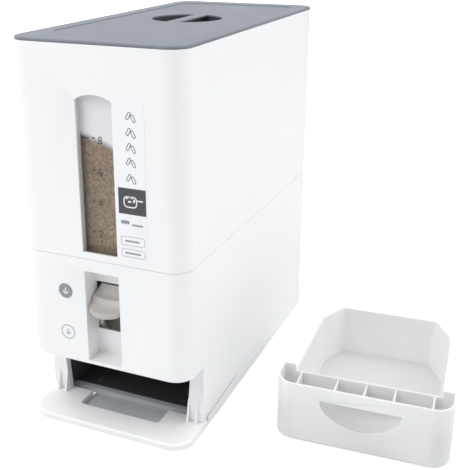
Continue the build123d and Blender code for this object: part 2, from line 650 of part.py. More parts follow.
def hopper_body(inset, low, rise):
    """Funnel of the tank: sloping floor, steep front, ends sloping to the rotor's length."""
    front = FRONT_Y + SHELL_T + FIT + inset
    back = BACK_Y - SHELL_T - FIT - inset
    out_front = inlet_y(1) - HOPPER_T + inset
    out_back = inlet_y(0) + HOPPER_T - inset
    neck = OUTLET_Z + OUTLET_LIP
    side = [(front, WINDOW_LOW_Z - CHANNEL_LIP + rise), (front, SEAM_Z + HOPPER_FRONT_RISE + inset),
            (FRONT_Y + HOPPER_KNEE + inset, RECESS_TOP_Z + HOPPER_KNEE_UP + inset),
            (out_front, neck), (out_front, low), (out_back, low), (out_back, neck),
            (back, HOPPER_BACK_Z + inset), (back, HOPPER_BACK_Z + HOPPER_RIM + rise)]
    wide = INNER_HALF - FIT - inset
    narrow = DRUM_HALF + HOPPER_T - inset
    knee = SEAM_Z + HOPPER_FRONT_RISE + inset
    right = [(narrow, 0), (narrow, neck), (wide, knee), (wide, BIG)]
    ends = prism_y(right + [(-x, z) for x, z in reversed(right)], -BIG, BIG)
    return prism_x(side, BIG) & ends & tank_hollow(0, BIG, FIT + inset)


def window_room(back_gap):
    """Space that the window's channel and pane take inside the tank."""
    return window_cut(CHANNEL_LIP + CHANNEL_T + FIT, FRONT_Y, PANE_Y + PANE_T + back_gap, CHANNEL_SILL)


def make_hopper():
    """Sloping inner floor that leads the rice to the outlet."""
    low = OUTLET_Z - HOPPER_T
    funnel = hopper_body(0.0, low, 0.0) - hopper_body(HOPPER_T, low - 1, BODY_W)
    return funnel - window_room(FIT)


def make_rice():
    """Stored rice: fills the hopper up to a slightly heaped surface."""
    rice = hopper_body(HOPPER_T, OUTLET_Z - HOPPER_T, BODY_W)
    heap = [(-BIG, 0), (BIG, 0), (BIG, RICE_Z + RICE_BACK), (BACK_Y, RICE_Z + RICE_BACK),
            (0, RICE_Z + RICE_HEAP), (FRONT_Y, RICE_Z), (-BIG, RICE_Z)]
    lean = [(-HALF_W, 0), (HALF_W, 0), (HALF_W, RICE_Z - RICE_LEAN), (0, RICE_Z),
            (-HALF_W, RICE_Z + RICE_LEAN)]
    return (rice & prism_x(heap, BIG) & prism_y(lean, -BIG, BIG)) - window_room(FIT / 3)


# ---------------------------------------------------------------- lid
def make_lid_cover():
    """Grey lid: crowned edge, sunk middle panel, skirt and two half-moon holes."""
    lid = rounded_box(BODY_W, BODY_D, LID_SEAT_Z, LID_TOP_Z, CORNER_R)
    lid = fillet(lid.faces().sort_by(Axis.Z)[-1].edges(), LID_EDGE_R)
    lid -= rounded_box(BODY_W - 2 * LID_PANEL_INSET, BODY_D - 2 * LID_PANEL_END,
                       LID_TOP_Z - LID_PANEL_SINK, LID_TOP_Z + 1, LID_PANEL_R, LID_PANEL_SHIFT)
    skirt = tank_hollow(LID_SEAT_Z - LID_SKIRT_H, LID_SEAT_Z, LID_SKIRT_FIT)
    skirt -= tank_hollow(0, LID_SEAT_Z, LID_SKIRT_FIT + LID_SKIRT_T)
    lid += skirt - seal_ring(0.0)
    well = Pos(0, GRIP_Y, LID_SEAT_Z) * Cylinder(GRIP_R - GRIP_LIP, 4 * LID_T)
    return lid - (well - block(-GRIP_BAR / 2, GRIP_BAR / 2, -BIG, BIG, 0, BIG))


def seal_ring(gap):
    """Ring round the lid's skirt, its outside this far from the casing."""
    top = LID_SEAT_Z - SEAL_TOP
    ring = tank_hollow(top - SEAL_H, top, gap)
    return ring - tank_hollow(top - 2 * SEAL_H, top + SEAL_H, FIT + SEAL_T)


def make_grip_cup():
    """Dark cup under the two finger holes."""
    middle = LID_SEAT_Z - GRIP_DEPTH / 2
    cup = Pos(0, GRIP_Y, middle) * Cylinder(GRIP_R + CUP_T, GRIP_DEPTH)
    return cup - Pos(0, GRIP_Y, middle + CUP_T) * Cylinder(GRIP_R, GRIP_DEPTH)


def make_lid_seal():
    """Soft ring in the groove of the lid's skirt."""
    return seal_ring(FIT)


# ---------------------------------------------------------------- drawer
def tray_outline(inset, z, spread):
    """Plan of the tray at one height: straight sides, slanted back corners."""
    back_rim = TRAY_RIM_HALF - TRAY_TAPER
    back_floor = TRAY_FLOOR_HALF - TRAY_TAPER / 2
    front_half = TRAY_FLOOR_HALF + (TRAY_RIM_HALF - TRAY_FLOOR_HALF) * spread - inset
    back_half = back_floor + (back_rim - back_floor) * spread - inset
    back = TRAY_LENGTH - TRAY_BACK_DRAFT * (1 - spread) - inset
    front = DRAWER_FRONT_D - DRAWER_T + inset
    cut_x = TRAY_CUT_X - inset / 3
    cut_y = TRAY_CUT_Y - inset / 2
    points = [(-front_half, front), (front_half, front), (back_half, back - cut_y),
              (back_half - cut_x, back), (-back_half + cut_x, back), (-back_half, back - cut_y)]
    plan = make_face(Pos(0, 0, z) * Polyline(*[(x, y, 0) for x, y in points], close=True))
    return fillet(plan.vertices().sort_by(Axis.Y)[-4:], TRAY_CORNER_R - inset)


def front_tub(inset, low, high, end):
    """Wrapped drawer front as a solid, made smaller by an inset, up to a rear end."""
    plan = RectangleRounded(DRAWER_W - 2 * inset, 2 * (DRAWER_FRONT_D - inset), DRAWER_CORNER_R - inset)
    tub = Pos(0, DRAWER_FRONT_D, low) * extrude(plan, high - low)
    return tub & block(-BIG, BIG, -BIG, end, -BIG, BIG)


def pocket_bowl(wall):
    """Half-moon bowl of the finger pull, made larger by a wall."""
    sizes = (POCKET_HALF + wall, POCKET_DEPTH + wall, POCKET_H + wall)
    return Pos(0, 0, POCKET_TOP_Z) * scale(Sphere(1), sizes)


def make_drawer():
    """White drawer: wrapped front, front compartment with ribs, and the rice tray."""
    inner_back = DRAWER_FRONT_D - DRAWER_T
    drawer = front_tub(0, 0, DRAWER_H, DRAWER_FRONT_D)
    foot = drawer.faces().sort_by(Axis.Z)[0].edges()
    drawer = fillet(foot.filter_by(lambda e: e.center().Y < inner_back), DRAWER_FOOT_R)
    drawer -= front_tub(DRAWER_T, FOOT_FLOOR, 2 * DRAWER_H, inner_back)
    sight = TRAY_RIM_HALF - SIGHT_IN
    drawer -= block(-sight, sight, inner_back - 1, DRAWER_FRONT_D + 1, TRAY_RIM_Z, 2 * DRAWER_H)
    over = DRAWER_T / TRAY_RIM_Z
    drawer += loft([tray_outline(0, 0, 0), tray_outline(0, TRAY_RIM_Z, 1)], ruled=True)
    drawer -= loft([tray_outline(DRAWER_T, DRAWER_T, over),
                    tray_outline(DRAWER_T, TRAY_RIM_Z + DRAWER_T, 1 + over)], ruled=True)
    drawer += [block(x - RIB_T / 2, x + RIB_T / 2, DRAWER_T - 0.5, inner_back + 0.5, DRAWER_T, top)
               for x, top in rib_places()]
    shelf_z = DRAWER_H - WING_SHELF
    shelf = front_tub(DRAWER_T / 2, shelf_z, shelf_z + DRAWER_T, inner_back + 0.5)
    drawer += shelf - block(-PARTITION_X, PARTITION_X, -BIG, BIG, 0, DRAWER_H)
    wall = pocket_bowl(POCKET_T) & block(-BIG, BIG, POCKET_T / 2, BIG, 0, POCKET_TOP_Z + POCKET_T)
    drawer += wall
    return drawer - (pocket_bowl(0) & block(-BIG, BIG, -BIG, BIG, 0, POCKET_TOP_Z))


def rib_places():
    """Place and top of each upright plate in the front compartment."""
    ribs = [(k * RIB_PITCH, TRAY_RIM_Z - RIB_DROP) for k in (-1, 0, 1)]
    return ribs + [(-PARTITION_X, TRAY_RIM_Z), (PARTITION_X, TRAY_RIM_Z)]


def main():
    """Build and save every piece."""
    save("base_frame", make_base_frame())
    save("stand_shell", make_stand_shell())
    save("bottom_pan", make_bottom_pan())
    save("drawer_rails", make_drawer_rails())
    save("bay_liner", make_bay_liner())
    save("meter_housing", make_meter_housing())
    save("housing_cap", make_housing_cap())
    save("cap_screws", make_cap_screws())
    save("shaft_bushes", make_bushes())
    save("inlet_gasket", make_inlet_gasket())
    save("return_spring", make_return_spring())
    save("measure_badge", make_badge(MEASURE_BADGE_Z, True))
    save("release_badge", make_badge(RELEASE_BADGE_Z, False))
    save("metering_rotor", make_rotor())
    save("rotor_shaft", make_rotor_shaft())
    save("push_lever", make_lever())
    save("lever_screws", make_lever_screws())
    save("tank_shell", make_tank_shell())
    save("hopper", make_hopper())
    save("window_frame", make_window_frame())
    save("window_pane", make_window_pane())
    save("scale_dots", make_scale_dots())
    save("front_label", make_label())
    save("rice_fill", make_rice())
    save("lid_cover", make_lid_cover())
    save("grip_cup", make_grip_cup())
    save("lid_seal", make_lid_seal())
    place = Location((DRAWER_X, DRAWER_Y, 0), (0, 0, DRAWER_TURN))
    save("drawer", place * make_drawer())


main()
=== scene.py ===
"""Looks of a household rice dispenser: white stand, lift-off tank, grey lid, push lever and drawer.

Metres, +Z up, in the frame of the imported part. The front is -Y.
"""

import logging
import math
import random
from dataclasses import dataclass
from enum import Enum
from typing import Any, Sequence

import bmesh
import bpy
from bmesh.types import BMEdge, BMesh
from bpy.types import ID, Material, Node, NodeSocket, NodeTree, Object
from mathutils import Euler, Matrix, Vector
from mathutils.bvhtree import BVHTree


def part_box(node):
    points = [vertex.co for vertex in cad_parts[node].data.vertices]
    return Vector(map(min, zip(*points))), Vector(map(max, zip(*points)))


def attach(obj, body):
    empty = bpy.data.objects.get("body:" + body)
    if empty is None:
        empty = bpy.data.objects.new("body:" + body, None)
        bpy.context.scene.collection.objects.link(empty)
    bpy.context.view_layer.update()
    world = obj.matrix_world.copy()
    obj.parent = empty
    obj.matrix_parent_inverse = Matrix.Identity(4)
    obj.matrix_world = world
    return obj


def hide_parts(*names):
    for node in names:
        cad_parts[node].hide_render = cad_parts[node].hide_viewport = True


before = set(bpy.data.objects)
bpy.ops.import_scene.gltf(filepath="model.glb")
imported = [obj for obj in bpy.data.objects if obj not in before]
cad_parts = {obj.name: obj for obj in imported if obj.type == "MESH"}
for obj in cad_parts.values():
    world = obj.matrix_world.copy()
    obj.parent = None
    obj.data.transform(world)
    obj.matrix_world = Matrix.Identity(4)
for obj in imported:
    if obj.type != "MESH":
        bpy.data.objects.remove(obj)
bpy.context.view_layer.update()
LOG = logging.getLogger("rice_dispenser")
MM = 0.001
IMAGE_SIDE = 470          # the photograph's width and height, pixels
MERGE_MM = 0.002          # corners closer than this are one corner
FLAT_DEG = 0.6            # faces that meet at less than this are one flat face
ROUND_DEG = 34            # edges that turn more than this are rounded
SMOOTH_DEG = 35           # faces that meet at less than this are shaded as one curve
INK_MM = 0.06             # thickness of a print
CORNER_SHARE = 0.499      # a mark's round corner takes a little less than half its width
CAPS_SHARE = 0.7          # height of the plain font's figures over its size
UPRIGHT = Matrix.Rotation(math.radians(90), 4, "X")     # stands a flat outline up, facing the front


class Body(Enum):
    """The bodies that the joints move."""

    STAND = "stand"
    ROTOR = "rotor"
    TANK = "tank"
    LID = "lid"
    DRAWER = "drawer"


# ---------------------------------------------------------------- node and colour helpers
def srgb(code: str) -> tuple[float, float, float, float]:
    """Turns an sRGB hex colour into linear red, green, blue and alpha.

    Args:
        code: the colour as "#RRGGBB".

    Returns:
        Linear colour with an alpha of 1.
    """
    channels = [int(code[i : i + 2], 16) / 255 for i in (1, 3, 5)]
    linear = [c / 12.92 if c <= 0.04045 else ((c + 0.055) / 1.055) ** 2.4 for c in channels]
    return (linear[0], linear[1], linear[2], 1.0)


def add_node(
    tree: NodeTree,
    kind: str,
    settings: dict[Any, Any] | None = None,
    links: dict[Any, NodeSocket] | None = None,
) -> Node:
    """Adds one node with its settings and links.

    Args:
        tree: the material's or world's node tree.
        kind: the node's type name.
        settings: values for its inputs, by name or number, or for its own options.
        links: sockets to join to its inputs, by name or number.

    Returns:
        The new node.
    """
    node = tree.nodes.new(kind)
    for key, value in (settings or {}).items():
        if isinstance(key, int) or key in node.inputs:
            node.inputs[key].default_value = value
        else:
            setattr(node, key, value)
    for key, socket in (links or {}).items():
        tree.links.new(socket, node.inputs[key])
    return node


def pitch(size_mm: float) -> float:
    """Gives the texture scale for a pattern whose features are this many millimetres apart."""
    return 1000.0 / size_mm


def blank_material(name: str) -> Material:
    """Makes a material whose node tree is still empty.

    Args:
        name: what it is and how its surface was made.

    Returns:
        The new material.
    """
    made = bpy.data.materials.new(name)
    made.use_nodes = True
    made.node_tree.nodes.clear()
    return made


def linked_object(name: str, data: ID) -> Object:
    """Makes an object and links it to the scene.

    Args:
        name: the object's name.
        data: its mesh, curve, camera or lamp.

    Returns:
        The new object.
    """
    made = bpy.data.objects.new(name, data)
    bpy.context.scene.collection.objects.link(made)
    return made


@dataclass(frozen=True)
class MouldedPlastic:
    """Injection-moulded plastic, as the mould leaves it.

    The eye sees one clean colour that drifts a little over the panel, a fine spark-eroded grain, the slow
    sink of the wall between its ribs, and rubbed spots that shine a little more.
    """

    name: str
    colour: str
    drift: str                    # colour that the slow variation goes towards
    drift_mm: float = 110.0
    roughness: float = 0.36
    ior: float = 1.53             # ABS
    grain_mm: float = 0.9         # real grain is near 0.1 mm, drawn as coarse as the render can show
    grain_depth_mm: float = 0.0025
    sink_mm: float = 70.0
    sink_depth_mm: float = 0.05
    rub: float = 0.03             # how much rubbed spots change the roughness
    rub_mm: float = 45.0
    edge_mm: float = 0.6          # radius that catches the light along the edges
    glow_mm: float = 0.0          # how far light spreads inside a translucent wall

    def colour_socket(self, tree: NodeTree, place: NodeSocket) -> NodeSocket:
        """Gives the colour with its slow drift.

        Args:
            tree: the material's node tree.
            place: object coordinates.

        Returns:
            The colour socket for the shader.
        """
        cloud = add_node(
            tree, "ShaderNodeTexNoise", {"Scale": pitch(self.drift_mm), "Detail": 3.0}, {"Vector": place}
        )
        share = add_node(
            tree, "ShaderNodeMapRange", {"From Min": 0.35, "From Max": 0.65}, {"Value": cloud.outputs["Fac"]}
        )
        blend = add_node(
            tree, "ShaderNodeMix", {"data_type": "RGBA", 6: srgb(self.colour), 7: srgb(self.drift)},
            {0: share.outputs["Result"]},
        )
        return blend.outputs[2]

    def material(self) -> Material:
        """Builds the material.

        Returns:
            The material, named and wired.
        """
        made = blank_material(self.name)
        tree = made.node_tree
        place = add_node(tree, "ShaderNodeTexCoord").outputs["Object"]
        rubs = add_node(
            tree, "ShaderNodeTexNoise", {"Scale": pitch(self.rub_mm), "Detail": 3.0}, {"Vector": place}
        )
        gloss = add_node(
            tree, "ShaderNodeMapRange",
            {
                "From Min": 0.3, "From Max": 0.75,
                "To Min": self.roughness + self.rub / 2, "To Max": self.roughness - self.rub / 2,
            },
            {"Value": rubs.outputs["Fac"]},
        )
        edge = add_node(tree, "ShaderNodeBevel", {"samples": 6, "Radius": self.edge_mm * MM})
        sink = add_node(
            tree, "ShaderNodeTexNoise", {"Scale": pitch(self.sink_mm), "Detail": 1.0}, {"Vector": place}
        )
        swell = add_node(
            tree, "ShaderNodeBump", {"Strength": 1.0, "Distance": self.sink_depth_mm * MM},
            {"Height": sink.outputs["Fac"], "Normal": edge.outputs["Normal"]},
        )
        grain = add_node(
            tree, "ShaderNodeTexNoise", {"Scale": pitch(self.grain_mm), "Detail": 2.0}, {"Vector": place}
        )
        skin = add_node(
            tree, "ShaderNodeBump", {"Strength": 1.0, "Distance": self.grain_depth_mm * MM},
            {"Height": grain.outputs["Fac"], "Normal": swell.outputs["Normal"]},
        )
        shader = add_node(
            tree, "ShaderNodeBsdfPrincipled",
            {
                "IOR": self.ior, "Subsurface Weight": 0.6 if self.glow_mm else 0.0,
                "Subsurface Radius": (1.0, 1.0, 1.0), "Subsurface Scale": max(self.glow_mm, 1.0) * MM,
            },
            {
                "Base Color": self.colour_socket(tree, place),
                "Roughness": gloss.outputs["Result"],
                "Normal": skin.outputs["Normal"],
            },
        )
        add_node(tree, "ShaderNodeOutputMaterial", links={"Surface": shader.outputs["BSDF"]})
        return made


@dataclass(frozen=True)
class ShadedDeckPlastic(MouldedPlastic):
    """Moulded plastic with painted shade: its raised deck behind the nose is darker, standing for the bay's
    shadow.
    """

    # colour of the painted shade on the raised deck
    deck_shade_colour: str = "#424347"
    deck_z_mm: float = 5.2
    deck_y_mm: float = -136.0     # the painted shade begins behind the step's light nose
    blend_z_mm: float = 0.3       # half the width over which light turns dark, upwards
    blend_y_mm: float = 0.5       # and front to back

    def colour_socket(self, tree: NodeTree, place: NodeSocket) -> NodeSocket:
        """Gives the colour, with painted shade on the raised deck behind its nose.

        Args:
            tree: the material's node tree.
            place: object coordinates.

        Returns:
            The colour socket for the shader.
        """
        axes = add_node(tree, "ShaderNodeSeparateXYZ", links={"Vector": place})
        above = add_node(
            tree, "ShaderNodeMapRange",
            {
                "From Min": (self.deck_z_mm - self.blend_z_mm) * MM,
                "From Max": (self.deck_z_mm + self.blend_z_mm) * MM,
            },
            {"Value": axes.outputs["Z"]},
        )
        behind = add_node(
            tree, "ShaderNodeMapRange",
            {
                "From Min": (self.deck_y_mm - self.blend_y_mm) * MM,
                "From Max": (self.deck_y_mm + self.blend_y_mm) * MM,
            },
            {"Value": axes.outputs["Y"]},
        )
        # painted shade: weight of the dark colour on the deck behind the nose
        dark = add_node(
            tree, "ShaderNodeMath", {"operation": "MULTIPLY"},
            {0: above.outputs["Result"], 1: behind.outputs["Result"]},
        )
        blend = add_node(
            tree, "ShaderNodeMix", {"data_type": "RGBA", 7: srgb(self.deck_shade_colour)},
            {0: dark.outputs["Value"], 6: super().colour_socket(tree, place)},
        )
        return blend.outputs[2]


@dataclass(frozen=True)
class ClearSheet:
    """Clear moulded SAN sheet: glossy, nearly invisible over the rice, milky with starch dust above it."""

    name: str
    dust: str
    clear: float                  # cover over the rice
    milky: float                  # cover above it
    level_mm: float               # rice level at the middle of the pane
    fall: float                   # how far the level falls to the right, per millimetre
    feather_mm: float             # depth of the ragged edge between the two
    puff_mm: float = 9.0          # clouds of dust
    wipe_mm: float = 6.0          # streaks left by wiping

    def material(self) -> Material:
        """Builds the material.

        Returns:
            The material, named and wired.
        """
        made = blank_material(self.name)
        tree = made.node_tree
        place = add_node(tree, "ShaderNodeTexCoord").outputs["Object"]
        axes = add_node(tree, "ShaderNodeSeparateXYZ", links={"Vector": place})
        slope = add_node(
            tree, "ShaderNodeMath", {"operation": "MULTIPLY_ADD", 1: self.fall},
            {0: axes.outputs["X"], 2: axes.outputs["Z"]},
        )
        puffs = add_node(
            tree, "ShaderNodeTexNoise",
            {"Scale": pitch(self.puff_mm), "Detail": 6.0, "Roughness": 0.65}, {"Vector": place},
        )
        ragged = add_node(
            tree, "ShaderNodeMath", {"operation": "MULTIPLY_ADD", 1: self.feather_mm * MM},
            {0: puffs.outputs["Fac"], 2: slope.outputs["Value"]},
        )
        cover = add_node(
            tree, "ShaderNodeMapRange",
            {
                "interpolation_type": "SMOOTHSTEP",
                "From Min": self.level_mm * MM,
                "From Max": (self.level_mm + self.feather_mm) * MM,
                "To Min": self.clear,
                "To Max": self.milky,
            },
            {"Value": ragged.outputs["Value"]},
        )
        wipe = add_node(
            tree, "ShaderNodeTexNoise",
            {"Scale": pitch(self.wipe_mm), "Detail": 5.0, "Distortion": 1.2}, {"Vector": place},
        )
        gloss = add_node(
            tree, "ShaderNodeMapRange", {"To Min": 0.05, "To Max": 0.22}, {"Value": wipe.outputs["Fac"]}
        )
        shader = add_node(
            tree, "ShaderNodeBsdfPrincipled", {"Base Color": srgb(self.dust), "IOR": 1.57},
            {"Alpha": cover.outputs["Result"], "Roughness": gloss.outputs["Result"]},
        )
        add_node(tree, "ShaderNodeOutputMaterial", links={"Surface": shader.outputs["BSDF"]})
        return made


@dataclass(frozen=True)
class BrownRice:
    """Brown rice, hulled only: a waxy bran skin, each grain its own tint, its shine broken by fine flecks."""

    name: str
    pale: str
    deep: str
    bed: bool = False             # the bed below the loose grains is bumped instead of modelled
    cell_mm: float = 3.2          # each patch of one tint, about a grain
    band_mm: float = 60.0         # slow change from layer to layer
    fleck_mm: float = 1.1
    cell_depth_mm: float = 1.2
    fleck_depth_mm: float = 0.08

    def material(self) -> Material:
        """Builds the material.

        Returns:
            The material, named and wired.
        """
        made = blank_material(self.name)
        tree = made.node_tree
        place = add_node(tree, "ShaderNodeTexCoord").outputs["Object"]
        cells = add_node(
            tree, "ShaderNodeTexVoronoi", {"Scale": pitch(self.cell_mm), "Randomness": 1.0}, {"Vector": place}
        )
        tint = add_node(tree, "ShaderNodeSeparateColor", links={"Color": cells.outputs["Color"]})
        band = add_node(
            tree, "ShaderNodeTexNoise", {"Scale": pitch(self.band_mm), "Detail": 3.0}, {"Vector": place}
        )
        share = add_node(
            tree, "ShaderNodeMath", {"operation": "MULTIPLY_ADD", 1: 0.4},
            {0: tint.outputs["Red"], 2: band.outputs["Fac"]},
        )
        spread = add_node(
            tree, "ShaderNodeMapRange", {"From Min": 0.35, "From Max": 1.2}, {"Value": share.outputs["Value"]}
        )
        colour = add_node(
            tree, "ShaderNodeMix", {"data_type": "RGBA", 6: srgb(self.pale), 7: srgb(self.deep)},
            {0: spread.outputs["Result"]},
        )
        flecks = add_node(
            tree, "ShaderNodeTexNoise", {"Scale": pitch(self.fleck_mm), "Detail": 3.0}, {"Vector": place}
        )
        depth_mm = self.cell_depth_mm if self.bed else self.fleck_depth_mm
        bump = add_node(
            tree, "ShaderNodeBump", {"Strength": 1.0, "Distance": depth_mm * MM, "invert": self.bed},
            {"Height": cells.outputs["Distance"] if self.bed else flecks.outputs["Fac"]},
        )
        gloss = add_node(
            tree, "ShaderNodeMapRange", {"To Min": 0.32, "To Max": 0.55}, {"Value": flecks.outputs["Fac"]}
        )
        shader = add_node(
            tree, "ShaderNodeBsdfPrincipled", {"IOR": 1.5},
            {
                "Base Color": colour.outputs[2],
                "Roughness": gloss.outputs["Result"],
                "Normal": bump.outputs["Normal"],
            },
        )
        add_node(tree, "ShaderNodeOutputMaterial", links={"Surface": shader.outputs["BSDF"]})
        return made


@dataclass(frozen=True)
class PrintedInk:
    """Pad-printed ink: flat and dry, a little thin where the pad lifted."""

    name: str
    colour: str
    thin: str                     # where less ink came off the pad
    mottle_mm: float = 1.4

    def material(self) -> Material:
        """Builds the material.

        Returns:
            The material, named and wired.
        """
        made = blank_material(self.name)
        tree = made.node_tree
        place = add_node(tree, "ShaderNodeTexCoord").outputs["Object"]
        mottle = add_node(
            tree, "ShaderNodeTexNoise", {"Scale": pitch(self.mottle_mm), "Detail": 4.0}, {"Vector": place}
        )
        share = add_node(
            tree, "ShaderNodeMapRange", {"From Min": 0.4, "From Max": 0.75}, {"Value": mottle.outputs["Fac"]}
        )
        colour = add_node(
            tree, "ShaderNodeMix", {"data_type": "RGBA", 6: srgb(self.colour), 7: srgb(self.thin)},
            {0: share.outputs["Result"]},
        )
        gloss = add_node(
            tree, "ShaderNodeMapRange", {"To Min": 0.4, "To Max": 0.6}, {"Value": mottle.outputs["Fac"]}
        )
        shader = add_node(
            tree, "ShaderNodeBsdfPrincipled", {"IOR": 1.48},
            {"Base Color": colour.outputs[2], "Roughness": gloss.outputs["Result"]},
        )
        add_node(tree, "ShaderNodeOutputMaterial", links={"Surface": shader.outputs["BSDF"]})
        return made


@dataclass(frozen=True)
class DrawnSteel:
    """Zinc-plated steel, drawn or turned: fine lines run round the wire, and the plating clouds its shine."""

    name: str
    colour: str
    roughness: float
    cloud_mm: float = 4.0
    line_mm: float = 3.0          # real lines are near 0.05 mm, drawn as coarse as the render can show
    line_depth_mm: float = 0.01

    def material(self) -> Material:
        """Builds the material.

        Returns:
            The material, named and wired.
        """
        made = blank_material(self.name)
        tree = made.node_tree
        place = add_node(tree, "ShaderNodeTexCoord").outputs["Object"]
        cloud = add_node(
            tree, "ShaderNodeTexNoise", {"Scale": pitch(self.cloud_mm), "Detail": 5.0}, {"Vector": place}
        )
        gloss = add_node(
            tree, "ShaderNodeMapRange", {"To Min": self.roughness - 0.1, "To Max": self.roughness + 0.15},
            {"Value": cloud.outputs["Fac"]},
        )
        lines = add_node(
            tree, "ShaderNodeTexWave", {"Scale": pitch(self.line_mm), "Distortion": 2.0}, {"Vector": place}
        )
        bump = add_node(
            tree, "ShaderNodeBump", {"Strength": 0.3, "Distance": self.line_depth_mm * MM},
            {"Height": lines.outputs["Fac"]},
        )
        shader = add_node(
            tree, "ShaderNodeBsdfPrincipled", {"Base Color": srgb(self.colour), "Metallic": 1.0},
            {"Roughness": gloss.outputs["Result"], "Normal": bump.outputs["Normal"]},
        )
        add_node(tree, "ShaderNodeOutputMaterial", links={"Surface": shader.outputs["BSDF"]})
        return made


class Finishes:
    """Every finish of the dispenser, built once."""

    def __init__(self) -> None:
        """Builds the materials, by the record's slot or the print's use."""
        # ABS, injection moulded, high gloss white: clean reflections with a faint cool cast
        self.casing = MouldedPlastic("abs_moulded_white", "#F4F4F5", "#F2F3F4", roughness=0.34).material()
        # ABS with a fine matt mould texture, blue grey: soft wide highlights
        self.lid = MouldedPlastic(
            "abs_fine_matt_blue_grey", "#797F88", "#737982", roughness=0.5, ior=1.46, grain_depth_mm=0.004
        ).material()
        # polypropylene, moulded, dark grey: waxy, low shine
        self.dark = MouldedPlastic(
            "pp_moulded_dark_grey", "#48494C", "#3F4043", roughness=0.5, ior=1.49
        ).material()
        # polypropylene bottom: grey tongue, with painted shade darkening the deck behind it
        self.pan = ShadedDeckPlastic(
            "pp_moulded_pan_grey", "#C0C3C8", "#B8BBC1", roughness=0.48, ior=1.49
        ).material()
        # ABS, moulded, warm taupe grey: the touched surface, satin
        self.lever = MouldedPlastic(
            "abs_moulded_taupe", "#BCB6B2", "#B5AFAB", roughness=0.34, edge_mm=0.9
        ).material()
        # acetal (POM), natural: waxy off-white of the running parts
        self.acetal = MouldedPlastic(
            "pom_moulded_natural", "#ECEAE3", "#E4E1D8", roughness=0.42, ior=1.48
        ).material()
        # polypropylene, moulded, white: softer than the casing, its colour a little greyer as painted shade
        self.drawer = MouldedPlastic(
            "pp_moulded_white", "#E9EAE9", "#E6E7E6", roughness=0.38, ior=1.49, edge_mm=0.7, glow_mm=8.0
        ).material()
        # clear SAN sheet with starch dust
        self.pane = ClearSheet(
            "san_moulded_clear", "#EBEBEE", clear=0.05, milky=0.9, level_mm=321.0, fall=0.33, feather_mm=9.0
        ).material()
        # polypropylene, moulded, light channel behind the pane
        self.channel = MouldedPlastic(
            "pp_moulded_light_channel", "#DCDADB", "#D3D0D0", roughness=0.38, ior=1.49
        ).material()
        # silicone rubber, moulded: dull and slightly grey
        self.seal = MouldedPlastic(
            "silicone_moulded_grey", "#C4C6C8", "#BBBDC0", roughness=0.62, ior=1.43
        ).material()
        # spring steel, drawn and zinc plated
        self.steel = DrawnSteel("steel_drawn_zinc", "#C9CACB", 0.3).material()
        # brown rice grains, and the bed that they lie on, coloured darker as painted shade in the gaps
        # between its grains
        self.rice = BrownRice("brown_rice_hulled_grains", "#A58D72", "#87725B").material()
        self.rice_bed = BrownRice("brown_rice_bed_painted_shade", "#8C7459", "#6C5A46", bed=True).material()
        # pad-printed inks
        self.ink_grey = PrintedInk("ink_pad_printed_grey", "#8A8D91", "#9C9FA3").material()
        self.ink_dark = PrintedInk("ink_pad_printed_dark", "#434247", "#55545A").material()
        self.ink_scale = PrintedInk("ink_pad_printed_brown_grey", "#4A4038", "#5A5047").material()
        self.ink_white = PrintedInk("ink_pad_printed_white", "#EDEDEE", "#DADADC").material()
        # polyester label film, satin white, laid a little unevenly
        self.film = MouldedPlastic(
            "polyester_film_satin", "#F3F4F6", "#EFF0F3", roughness=0.36, ior=1.57,
            sink_mm=25, sink_depth_mm=0.02, edge_mm=0.05,
        ).material()


# ---------------------------------------------------------------- piece helpers
def finish_piece(
    name: str, shape: BMesh, body: Body, finish: Material, smooth: bool = True
) -> Object:
    """Makes a bmesh one of the object's pieces.

    Args:
        name: the piece's name.
        shape: its mesh in the row frame, freed here.
        body: the body it rides on.
        finish: its material.
        smooth: whether its faces are shaded as curves where they meet at less than SMOOTH_DEG.

    Returns:
        The new object, at the origin.
    """
    bmesh.ops.recalc_face_normals(shape, faces=shape.faces)
    mesh = bpy.data.meshes.new(name)
    for face in shape.faces:
        face.smooth = smooth
    for edge in shape.edges:
        edge.smooth = len(edge.link_faces) != 2 or edge.calc_face_angle(0.0) < math.radians(SMOOTH_DEG)
    shape.to_mesh(mesh)
    shape.free()
    mesh.materials.append(finish)
    piece = linked_object(name, mesh)
    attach(piece, body.value)
    LOG.info("%s: %d faces", name, len(mesh.polygons))
    return piece


def dress(node: str, finish: Material) -> None:
    """Gives a CAD node its finish.

    Args:
        node: the node's name.
        finish: the material for all its slots.
    """
    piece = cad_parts[node]
    for place in piece.material_slots:
        place.link = "OBJECT"
        place.material = finish
    LOG.info("%s: dressed in %s", node, finish.name)


def merged_copy(node: str) -> BMesh:
    """Copies a CAD node's mesh and merges its loose triangles.

    Args:
        node: the node's name.

    Returns:
        The copy, for finish_piece to free.
    """
    shape = bmesh.new()
    shape.from_mesh(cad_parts[node].data)
    bmesh.ops.remove_doubles(shape, verts=shape.verts, dist=MERGE_MM * MM)
    return shape


def rounded_copy(name: str, node: str, body: Body, finish: Material, edge_mm: float) -> Object:
    """Stands in for a CAD node with the same shape, its sharp edges rounded as the mould leaves them.

    Args:
        name: the piece's name.
        node: the CAD node that it replaces.
        body: the body it rides on.
        finish: its material.
        edge_mm: width of the rounding.

    Returns:
        The new piece.
    """
    shape = merged_copy(node)
    bmesh.ops.dissolve_limit(
        shape, angle_limit=math.radians(FLAT_DEG), use_dissolve_boundaries=False,
        verts=shape.verts, edges=shape.edges,
    )
    piece = finish_piece(name, shape, body, finish)
    rounding = piece.modifiers.new("rounded edges", "BEVEL")
    rounding.limit_method = "ANGLE"
    rounding.angle_limit = math.radians(ROUND_DEG)
    rounding.width = edge_mm * MM
    rounding.segments = 2
    rounding.use_clamp_overlap = False
    rounding.harden_normals = True
    rounding.miter_outer = "MITER_ARC"
    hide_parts(node)
    return piece


